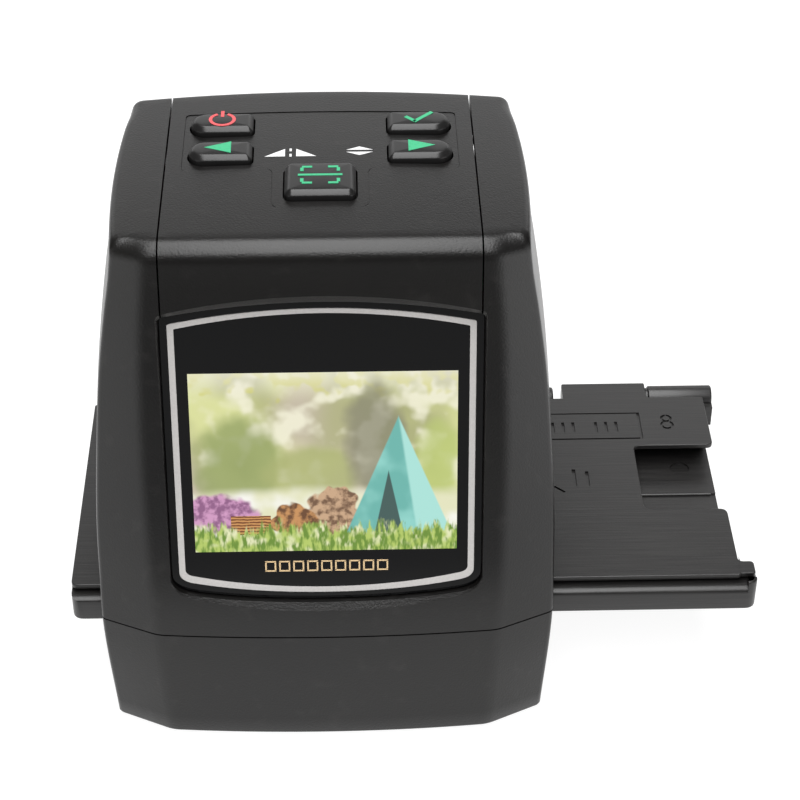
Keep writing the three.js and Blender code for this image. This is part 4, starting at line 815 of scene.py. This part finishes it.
tent_fold = (across - 13.2 + (up - 0.76) * 5).smooth(-0.3, 0.3)
tent_cloth = picture.blend(blur_mid.smooth(0.35, 0.7), srgb(112, 186, 176), srgb(150, 218, 208))
tent_cloth = picture.blend(tent_fold, tent_cloth, srgb(176, 232, 222))
doorway = abs(across - 11.4) / 2.6 + (up - 0.1) / 0.36
tent_cloth = picture.blend(1 - doorway.smooth(0.94, 1.02), tent_cloth, srgb(70, 96, 92))
in_tent = (1 - tent_edge.smooth(0.97, 1.01)) * (up > 0.1)
scene_colour = picture.blend(in_tent, scene_colour, tent_cloth)
basket = (abs(across + 13.5) < 3.6) * (abs(up - 0.15) < 0.055)
wicker = picture.blend(weave.smooth(0.1, 0.4), srgb(118, 66, 34), srgb(216, 158, 96))
scene_colour = picture.blend(basket, scene_colour, wicker)
blades = picture.noise(900, 3, (1, 1, 0.14), 0.6)
blade_tone = picture.noise(1500, 2, (1, 1, 0.2))
grass_light = picture.blend(blur_fine.smooth(0.45, 0.7), srgb(186, 208, 108), srgb(238, 240, 196))
grass = picture.blend(blade_tone.smooth(0.36, 0.62), srgb(112, 148, 56), grass_light)
scene_colour = picture.blend(1 - (up - blades * 0.28).smooth(-0.03, 0.02), scene_colour, grass)
picture.set(
    Base_Color=(0, 0, 0),
    Emission_Color=scene_colour,
    Emission_Strength=0.96,
    Roughness=0.12,
    Coat_Weight=0.5,
    Coat_Roughness=0.04,
)
lit_face = rectangle(-picture_half_width, picture_half_width, picture_bottom, picture_top)
settle(screen_plate(lit_face, -0.9, -0.02), "case", "display_glass", picture).name = "display_picture"

# Printed marks
# Screen-printed pictograms on the buttons, the panel and the window: enamel ink a few
# hundredths of a millimetre thick, each mark a thin plate that stands just proud.


def arc_band(radius, width, first, last, steps=20, flat=1.0):
    """A curved bar between two angles in degrees."""
    turns = [math.radians(first + (last - first) * i / steps) for i in range(steps + 1)]
    outer, inner = (
        [edge * Vector((math.cos(a), math.sin(a) * flat)) for a in turns]
        for edge in (radius + width / 2, radius - width / 2)
    )
    return outer + inner[::-1]


def thick_line(start, end, width):
    start, end = Vector(start), Vector(end)
    side = (end - start).orthogonal().normalized() * width / 2
    return [start + side, end + side, end - side, start - side]


def print_marks(name, shapes, place, body, ink, lift=0.03):
    """Prints closed outlines as one thin piece on the face that place stands on."""
    mesh = bmesh.new()
    for outline in shapes:
        rings = [[place @ Vector((*p[:2], height)) for p in outline] for height in (-0.1, lift)]
        bridge(mesh, [edge_loop(mesh, ring) for ring in rings])
    bmesh.ops.triangulate(mesh, faces=[f for f in mesh.faces if len(f.verts) > 4])
    bmesh.ops.recalc_face_normals(mesh, faces=mesh.faces)
    settle(as_object(name, mesh), body, "silver_ink", ink)


def ink_finish(name, colour, worn):
    ink = Finish(name)
    wear = ink.noise(1400, 3)
    dress(ink, wear.smooth(0.5, 0.8) * 0.6, colour, worn, wear * 0.2 + 0.4, (wear, 0.00002, 0.3))
    return ink


red_ink = ink_finish("red_ink", (214, 84, 88), (176, 60, 64))
green_ink = ink_finish("green_ink", (52, 170, 120), (36, 132, 92))
white_ink = ink_finish("white_ink", (226, 226, 226), (190, 190, 190))
gold_ink = ink_finish("gold_ink", (226, 196, 150), (188, 158, 116))

power_sign = [arc_band(2.15, 0.62, 115, 425, 36, 0.92), thick_line((0, 0.9), (0, 2.95), 0.62)]
left_arrow = [(-2.55, 0), (2.25, 1.9), (2.25, -1.9)]
right_arrow = [(-x, y) for x, y in left_arrow]
tick = [thick_line((-2.3, 0.2), (-0.55, -1.5), 0.75), thick_line((-0.75, -1.6), (2.6, 1.7), 0.75)]
scan_frame = [thick_line((-3.9, 0), (3.9, 0), 0.6)]
for sx, sy in ((-1, 1), (1, 1), (-1, -1), (1, -1)):
    scan_frame.append(thick_line((sx * 1.4, sy * 2.6), (sx * 3.2, sy * 2.6), 0.6))
    scan_frame.append(thick_line((sx * 3.2, sy * 2.3), (sx * 3.2, sy * 1.2), 0.6))
for name, ink, dx, dy, shapes in (
    ("power", red_ink, 0.05, 0.05, power_sign),
    ("left", green_ink, -0.3, 0.2, [left_arrow]),
    ("right", green_ink, 0.1, 0.2, [right_arrow]),
    ("ok", green_ink, -0.1, 0.2, tick),
    ("scan", green_ink, 0, 0.35, scan_frame),
):
    x, y = buttons[name][:2]
    place = Matrix.Translation((x + dx, y + dy, button_tops[name] + 0.11))
    print_marks("mark_" + name, shapes, place, f"button_{name}_body", ink)

mirror_marks = [
    [(-1.0, 1.25), (-1.0, -1.25), (-4.6, -1.25)],
    [(1.0, 1.25), (4.6, -1.25), (1.0, -1.25)],
    thick_line((0, 1.35), (0, 0.45), 0.4),
    thick_line((0, -0.45), (0, -1.35), 0.4),
]
flip_marks = [
    [(-2.4, 0.35), (2.4, 0.35), (0, 1.45)],
    [(-2.4, -0.35), (0, -1.45), (2.4, -0.35)],
]
for name, shapes, x, y in (("mark_mirror", mirror_marks, -5.35, 4.0), ("mark_flip", flip_marks, 7.0, 4.4)):
    place = Matrix.Translation((x, y, top_height(x, y) - panel_recess))
    print_marks(name, shapes, place, "case", white_ink)
film_row = []
for i in range(9):
    left = -11.2 + i * 2.55
    for y in (8.3, 10.2):
        film_row.append(thick_line((left, y), (left + 2, y), 0.28))
    for x in (left + 0.14, left + 1.86):
        film_row.append(thick_line((x, 8.3), (x, 10.2), 0.28))
print_marks("mark_film_row", film_row, screen_plane, "case", gold_ink, 0.02)

# Film holder
# A tray with a rounded front lip and hinge barrels behind, moulded in a glossier black
# plastic with fine streaks along the way it slides; its flat lid turns on two steel pins.
holder_plastic = Finish("holder_plastic")
holder_streak = holder_plastic.noise(55, 4, (1, 42, 42), 0.6)
holder_patch = holder_plastic.noise(30, 2)
holder_grain = holder_plastic.noise(3000, 1)
dress(
    holder_plastic, holder_streak.smooth(0.35, 0.75), (27, 26, 26), (38, 37, 36),
    holder_streak * 0.12 + holder_patch * 0.05 + holder_grain * 0.03 + 0.24,
    (holder_streak + holder_grain * 0.3, 0.00005, 0.6),
)
holder_left, holder_right, holder_front, holder_back = -48.7, 81.9, -28.5, 31.0
holder_bottom, tray_floor, lip_top, rim_top = 18.5, 20.3, 23.7, 24.2
tray_right, toe_back, lip_back, lug_front = 78.5, -22.4, -25.0, 28.0
hinge_y, hinge_z, hinge_radius, pin_bore, pin_half_length = 31.8, 23.3, 2.4, 0.9, 8
lid_bottom, lid_top_z, lid_front, lid_right, lid_back = 24.5, 25.5, -26.3, 78.8, 29.1
notch_left, notch_front, notch_back = 62.5, -6.9, 13.0
optical_y, film_half_width, film_half_depth, film_bed_half_depth = 2.0, 18, 12, 18
bed_step, bead_radius, dimple_x, dimple_y = 3.7, 0.35, 72.2, 11.7
end_barrels = ((-47.8, -34.3), (67.5, 81.0))
knuckles = ((-33.8, -16.2), (49.4, 67.0))
middle_barrel = (-14.3, 47.5)
hinge_gaps = ((end_barrels[0][1], knuckles[0][0]), (knuckles[1][1], end_barrels[1][0]))


def offset_outline(outline, distance):
    """The outline moved inwards by distance, corner by corner."""
    moved = []
    for before, corner, after in zip(outline[-1:] + outline[:-1], outline, outline[1:] + outline[:1]):
        first, second = (corner - before).normalized(), (after - corner).normalized()
        inward = Vector((-first.y - second.y, first.x + second.x)) / (1 + first.dot(second))
        moved.append(corner + inward * distance)
    return moved


def slab(name, outline, z0, z1, low_edge, high_edge):
    """A plate over an outline, its lower and upper edges rounded, with a hair of flat inside them."""
    turns, hair = [math.radians(a) for a in (0, 22.5, 45, 67.5, 90)], 0.02
    levels = [(z0, low_edge + hair)]
    for t in turns if low_edge else turns[:1]:
        levels.append((z0 + low_edge * (1 - math.cos(t)), low_edge * (1 - math.sin(t))))
    for t in turns if high_edge else turns[:1]:
        levels.append((z1 - high_edge * (1 - math.sin(t)), high_edge * (1 - math.cos(t))))
    levels.append((z1, high_edge + hair))
    rings = [[(p.x, p.y, height) for p in offset_outline(outline, inset)] for height, inset in levels]
    mesh = bmesh.new()
    bridge(mesh, [edge_loop(mesh, ring) for ring in rings], split_ends=True)
    return as_object(name, mesh)


def beam(profile, x0, x1, end=0.0):
    """A bar along X over a (y, z) profile, its ends rounded a little."""
    made = slab("beam", [Vector(p) for p in profile], x0, x1, end, end)
    made.data.transform(Matrix(((0, 0, 1, 0), (1, 0, 0, 0), (0, 1, 0, 0), (0, 0, 0, 1))))
    return made


def round_profile(y, z, radius, steps=32):
    turns = [2 * math.pi * i / steps for i in range(steps)]
    return [(y + radius * math.cos(t), z + radius * math.sin(t)) for t in turns]


def film_window():
    front, back = optical_y - film_half_depth, optical_y + film_half_depth
    return block(-film_half_width, film_half_width, front, back, 0, 60)


def pin_holes():
    pin = round_profile(hinge_y, hinge_z, pin_bore)
    reach = pin_half_length + 0.3
    return [beam(pin, (x0 + x1) / 2 - reach, (x0 + x1) / 2 + reach) for x0, x1 in hinge_gaps]
tray_outline = rounded_outline(
    [
        (holder_left, holder_front, 2.2),
        (holder_right, holder_front, 2.2),
        (holder_right, toe_back, 1.6),
        (tray_right, toe_back, 0.3),
        (tray_right, holder_back, 0.8),
        (holder_left, holder_back, 0.8),
    ]
)
tray = slab("holder_tray", tray_outline, holder_bottom, rim_top, 0.5, 0.25)
before, corner = Vector((holder_front, 20)), Vector((holder_front, lip_top))
after = Vector((lip_back, lip_top))
lip_cut = [(-35, 19.5), (holder_front, 19.5)] + soft_corner(before, corner, after, 1.45, 10)
lip_cut += [after, (lip_back, 30), (-35, 30)]
bed_front, bed_back = optical_y - film_bed_half_depth, optical_y + film_bed_half_depth
cut(tray, beam(lip_cut, holder_left - 5, holder_right + 5))
cut(tray, block(holder_left + 1.6, 95, bed_front, bed_back, tray_floor, 40))
cut(tray, block(57, 95, bed_front, bed_step, tray_floor - 0.35, tray_floor + 0.1))
join(tray, beam(round_profile(bed_step, tray_floor - 0.2, bead_radius, 20), 60, tray_right - 1))
cut(tray, post(dimple_x, dimple_y, tray_floor - 0.45, tray_floor, 2.0, 40))
stub = slab("stub", tray_outline, holder_bottom, lid_top_z - 0.2, 0.5, 0.5)
stub_place = block(holder_right - 1.9, holder_right + 5, holder_front - 5, lid_front - 0.3, 0, 60)
join(tray, combine(stub, stub_place, "INTERSECT"))
for x0, x1 in knuckles:
    y, z = hinge_y - hinge_radius - 0.3, hinge_z - hinge_radius - 0.3
    cut(tray, block(x0 - 1.9, x1 + 1.9, y, holder_back + 5, z, 60))
for (x0, x1), shift in zip(hinge_gaps, (-0.1, 0.1)):
    join(tray, beam(round_profile(hinge_y, hinge_z + 0.1, hinge_radius - 0.5), x0 + shift, x1 + shift))
foot = [(y, z) for z in (holder_bottom + 0.1, hinge_z) for y in (lug_front, hinge_y)]
for x0, x1 in end_barrels + (middle_barrel,):
    join(tray, beam(foot[:2] + foot[:1:-1], x0 + 0.02, x1 - 0.02))
    join(tray, beam(round_profile(hinge_y, hinge_z, hinge_radius, 48), x0, x1, 0.35))
cut(tray, *pin_holes(), film_window())
settle(tray, "holder", "holder_plastic", holder_plastic, "holder_base")

ear_back, ear_top = hinge_y + 2.2, lid_top_z - 0.6
lid_outline = rounded_outline(
    [
        (holder_left, lid_front, 1.5),
        (lid_right, lid_front, 0.5),
        (lid_right, lid_front + 0.4, 0.15),
        (lid_right + 2.9, lid_front + 0.4, 0.6),
        (lid_right + 2.9, toe_back, 0.9),
        (lid_right, toe_back, 1.0),
        (lid_right, notch_front, 1.6),
        (notch_left, notch_front, 1.8),
        (notch_left, notch_back, 1.4),
        (lid_right, notch_back, 1.3),
        (lid_right, lid_back, 0.5),
    ]
    + [
        corner
        for x0, x1 in knuckles[::-1]
        for corner in ((x1, lid_back, 0), (x1, ear_back, 0.4), (x0, ear_back, 0.4), (x0, lid_back, 0))
    ]
    + [(holder_left, lid_back, 0.5)]
)
lid = slab("holder_cover", lid_outline, lid_bottom, lid_top_z, 0.15, 0.2)
for x0, x1 in knuckles:
    barrel = beam(round_profile(hinge_y, hinge_z, hinge_radius, 48), x0 + 0.02, x1 - 0.02, 0.2)
    join(lid, cut(barrel, block(-90, 90, 0, 60, lid_top_z - 0.12, 40)))
    ear = [(hinge_y, hinge_z), (ear_back, hinge_z), (ear_back, ear_top), (hinge_y, ear_top)]
    join(lid, beam(ear, x0 + 0.05, x1 - 0.05, 0.2))
cut(lid, film_window(), *pin_holes())


def engrave(piece, shapes, surface, depth):
    for outline in shapes:
        cut(piece, prism(outline, surface - depth, surface + 1))


label_box = [
    thick_line((44.0, 23.7), (64.7, 23.7), 0.35),
    thick_line((44.0, 15.4), (64.7, 15.4), 0.4),
    thick_line((64.5, 23.9), (64.5, 15.2), 0.6),
]
arrow = [
    thick_line((49.5, 5.7), (49.5, 0.4), 0.7),
    thick_line((52.1, 5.0), (52.1, 0.5), 0.7),
    thick_line((45.2, 0.5), (47.2, -1.3), 0.5),
]
strokes = [thick_line((x, 20.9), (x, 17.6), 0.6) for x in (46.5, 48.6, 50.7, 55.4, 57.5, 59.6)]
number_eight = [
    [p + Vector((70.2, 21.85)) for p in arc_band(0.95, 0.5, 95, 445, 24)],
    [p + Vector((70.2, 19.7)) for p in arc_band(1.15, 0.5, 95, 445, 24)],
]
engrave(lid, label_box + arrow + strokes, lid_top_z, 0.45)
engrave(lid, number_eight, lid_top_z, 0.35)
settle(lid, "lid", "holder_plastic", holder_plastic, "holder_lid")

# Inside: boards, optics and light
# Mostly out of sight behind the shell: glass-fibre boards with copper tracks, a black
# mirror-free light path from the lamp box to the sensor, and amber flat cables between.


def clothe(finish, *names):
    """Gives solids that are drawn as they are their finish."""
    for name in names:
        for place in bpy.data.objects[name].material_slots:
            place.link = "OBJECT"
            place.material = finish.material


board_lacquer = Finish("board_lacquer")
track_x = abs((board_lacquer.x * 420 + board_lacquer.noise(90, 1)) % 1 - 0.5)
track_y = abs((board_lacquer.y * 360 + board_lacquer.noise(70, 1)) % 1 - 0.5)
track_area = board_lacquer.noise(120, 0).smooth(0.48, 0.52)
track = (track_x < 0.16) * track_area + (track_y < 0.14) * (1 - track_area)
pad_field = board_lacquer.noise(620, 0)
pad = pad_field > 0.68
board_green = board_lacquer.blend(track * 0.7, srgb(18, 74, 46), srgb(38, 112, 66))
board_lacquer.set(
    Base_Color=board_lacquer.blend(pad, board_green, srgb(196, 178, 128)),
    Metallic=pad * 0.9,
    Roughness=pad_field * 0.2 + 0.3,
    Normal=board_lacquer.bump(track + pad, 0.00006, 0.6),
)
clothe(board_lacquer, "button_board", "sensor_board", "main_board")

lamp_board = Finish("lamp_board")
lamp_grain = lamp_board.noise(700, 3)
lamp_track = abs((lamp_board.x * 260 + 0.2) % 1 - 0.5) < 0.1
dress(
    lamp_board, lamp_track, (228, 228, 224), (206, 200, 180),
    lamp_grain * 0.3 + 0.35, (lamp_track + lamp_grain * 0.2, 0.00005, 0.5),
)
clothe(lamp_board, "led_board")

lamp_body = Finish("lamp_body")
lamp_span = abs(lamp_body.noise(900, 2) - 0.5)
phosphor = lamp_body.noise(260, 1).smooth(0.42, 0.6)
dress(lamp_body, phosphor, (236, 234, 224), (240, 214, 96), lamp_span * 0.6 + 0.25)
clothe(lamp_body, "led_1", "led_2", "led_3", "led_4")

diffusing_sheet = Finish("diffusing_sheet")
sheet_grain = diffusing_sheet.noise(1800, 3)
dress(
    diffusing_sheet, sheet_grain, (226, 228, 228), (246, 247, 247),
    sheet_grain * 0.25 + 0.4, (sheet_grain, 0.00004, 0.6),
)
clothe(diffusing_sheet, "diffuser")

box_white = Finish("box_white")
box_grain = box_white.noise(1100, 3)
box_scuff = box_white.noise(60, 4).smooth(0.52, 0.72)
dress(
    box_white, box_scuff * 0.5, (232, 231, 227), (206, 203, 196),
    box_grain * 0.2 + 0.42, (box_grain, 0.00003, 0.5),
)
clothe(box_white, "light_box")

inner_plastic = Finish("inner_plastic")
inner_grain = inner_plastic.noise(1500, 3)
inner_mottle = inner_plastic.noise(70, 3)
dress(
    inner_plastic, inner_mottle.smooth(0.35, 0.7), (26, 26, 27), (40, 40, 41),
    inner_grain * 0.2 + 0.5, (inner_grain, 0.00006, 0.5),
)
clothe(inner_plastic, "chassis_plate", "optical_hood", "lens_holder", "video_jack")

switch_body = Finish("switch_body")
switch_grain = switch_body.noise(2200, 2)
switch_metal = switch_body.noise(300, 1) > 0.6
dress(
    switch_body, switch_metal, (30, 30, 31), (168, 168, 166),
    switch_grain * 0.2 + 0.38, (switch_grain, 0.00002, 0.4), Metallic=switch_metal * 0.9,
)
clothe(switch_body, *("switch_" + name for name in buttons))

sensor_chip = Finish("sensor_chip")
chip_grain = sensor_chip.noise(1600, 2)
die = (abs(sensor_chip.x) < 0.0035) * (abs(sensor_chip.y - 0.002) < 0.0028)
dress(sensor_chip, die, (34, 33, 34), (74, 58, 96), chip_grain * 0.15 + 0.25, Metallic=die * 0.7)
clothe(sensor_chip, "image_sensor")

lens_coating = Finish("lens_coating")
from_axis = ((lens_coating.x ** 2) + (lens_coating.y - 0.002) ** 2) ** 0.5
lens_haze = lens_coating.noise(240, 3)
dress(
    lens_coating, (from_axis * 260).smooth(0.2, 1), (30, 44, 74), (84, 44, 96),
    lens_haze * 0.05 + 0.03, Coat_Weight=lens_haze * 0.3 + 0.6,
)
clothe(lens_coating, "lens")

panel_glass = Finish("panel_glass")
cells_x = abs((panel_glass.x * 3000) % 1 - 0.5)
cells_z = abs((panel_glass.z * 3000) % 1 - 0.5)
dress(
    panel_glass, (cells_x + cells_z) * 0.6, (22, 24, 28), (52, 58, 62),
    panel_glass.noise(300, 3) * 0.1 + 0.1, Coat_Weight=panel_glass.noise(120, 2) * 0.3 + 0.5,
)
clothe(panel_glass, "display_panel")

# Metal parts
# Stamped and turned steel, zinc or nickel plated: the display frame, the sockets, the
# detent spring and the hinge pins.
plated_steel = Finish("plated_steel")
steel_brush = plated_steel.noise(180, 4, (1, 1, 14), 0.6)
steel_spot = plated_steel.noise(420, 3).smooth(0.56, 0.74)
dress(
    plated_steel, steel_spot * 0.4 + steel_brush * 0.3, (186, 186, 184), (138, 137, 134),
    steel_brush * 0.16 + steel_spot * 0.12 + 0.22, (steel_brush, 0.00002, 0.5),
    Metallic=steel_spot * -0.15 + 0.98,
)
clothe(plated_steel, "display_frame", "usb_socket", "card_socket", "detent_spring")
clothe(plated_steel, "hinge_pin_left", "hinge_pin_right")

# Flat cables
# Polyimide film with copper conductors running its length, from board to board.
ribbon = Finish("ribbon_film")
conductor = abs((ribbon.x * 900) % 1 - 0.5) < 0.24
ribbon_haze = ribbon.noise(400, 3)
dress(
    ribbon, conductor, (196, 120, 40), (150, 74, 30),
    ribbon_haze * 0.2 + 0.22, (conductor + ribbon_haze * 0.2, 0.00005, 0.5), Metallic=conductor * 0.5,
)
clothe(ribbon, "display_flex", "sensor_flex", "button_flex")

# Feet
# Four soft rubber discs pressed into pockets of the base, with a turned-over edge and the
# dull bloom that rubber gets.
foot_rubber = Finish("foot_rubber")
rubber_grain = foot_rubber.noise(1300, 3)
rubber_bloom = foot_rubber.noise(90, 4).smooth(0.45, 0.7)
dress(
    foot_rubber, rubber_bloom * 0.5, (30, 30, 30), (62, 61, 60),
    rubber_grain * 0.15 + 0.72, (rubber_grain, 0.00008, 0.6),
)


def turned(name, profile, steps=48):
    """A closed body turned about Z from (radius, height) points that start and end on the axis."""
    mesh = bmesh.new()
    verts = [mesh.verts.new((radius, 0, height)) for radius, height in profile]
    edges = [mesh.edges.new(pair) for pair in zip(verts, verts[1:])]
    bmesh.ops.spin(
        mesh,
        geom=verts + edges,
        cent=(0, 0, 0),
        axis=(0, 0, 1),
        angle=2 * math.pi,
        steps=steps,
        use_merge=True,
    )
    bmesh.ops.remove_doubles(mesh, verts=mesh.verts, dist=0.0001)
    bmesh.ops.recalc_face_normals(mesh, faces=mesh.faces)
    return as_object(name, mesh)


for i in range(1, 5):
    low, high = (corner * 1000 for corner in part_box(f"foot_{i}"))
    radius, bottom = (high.x - low.x) / 2, low.z
    profile = [(0, high.z), (radius - 0.1, high.z), (radius - 0.1, bottom + 0.8)]
    for a in (0.4, 0.8, 1.2, 1.5708):
        profile.append((radius - 0.8 + 0.7 * math.cos(a), bottom + 0.8 - 0.8 * math.sin(a)))
    profile += [(radius * 0.5, bottom), (radius * 0.46, bottom + 0.25), (0, bottom + 0.25)]
    foot = turned(f"rubber_foot_{i}", profile)
    foot.data.transform(Matrix.Translation(((low.x + high.x) / 2, (low.y + high.y) / 2, 0)))
    settle(foot, "case", "foot_rubber", foot_rubber, f"foot_{i}")

# Screws
# Self-tapping steel screws with domed heads and crossed recesses: four up into the base
# from below, two into the rear cover.
screw_steel = Finish("screw_steel")
screw_wear = screw_steel.noise(900, 3)
screw_ring = screw_steel.noise(260, 2)
dress(
    screw_steel, screw_wear.smooth(0.45, 0.7), (70, 70, 72), (136, 135, 132),
    screw_ring * 0.2 + 0.28, (screw_wear, 0.00002, 0.4), Metallic=screw_wear * 0.1 + 0.88,
)


def screw(name, head_radius, head_height, shank_radius, length):
    """A screw with its head at the top of Z and a crossed recess in it."""
    profile = [
        (head_radius * math.sin(a), -0.35 * head_height * (1 - math.cos(a * 1.05)))
        for a in (0, 0.4, 0.8, 1.2)
    ]
    profile += [(head_radius, -0.45 * head_height), (head_radius, -head_height), (shank_radius, -head_height)]
    depth = -head_height
    while depth > 0.6 - length:
        profile += [(shank_radius, depth - 0.2), (shank_radius * 0.82, depth - 0.5)]
        profile.append((shank_radius, depth - 0.75))
        depth -= 0.8
    profile += [(shank_radius * 0.5, -length + 0.02), (0, -length)]
    arm, half_slot, floor_of_slot = head_radius * 0.55, 0.22, -head_height * 0.75
    body = turned(name, profile)
    cut(body, block(-arm, arm, -half_slot, half_slot, floor_of_slot, 1))
    return cut(body, block(-half_slot, half_slot, -arm, arm, floor_of_slot, 1))


base_screws = [(f"base_screw_{i}", 1.6, math.pi) for i in range(1, 5)]
rear_screws = [(f"rear_screw_{side}", 1.4, -math.pi / 2) for side in ("left", "right")]
for name, head_height, turn in base_screws + rear_screws:
    low, high = (corner * 1000 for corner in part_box(name))
    x, y, z = (low + high) / 2
    length = high.z - low.z
    if name.startswith("base"):
        z = low.z + 0.02
    else:
        y, length = high.y - 0.02, high.y - low.y
    made = screw(name + "_cross", (high.x - low.x) / 2 - 0.02, head_height, 1.15, length - 0.1)
    made.data.transform(Matrix.Translation((x, y, z)) @ Matrix.Rotation(turn, 4, "X"))
    settle(made, "case", "steel", screw_steel, name)

low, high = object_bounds()
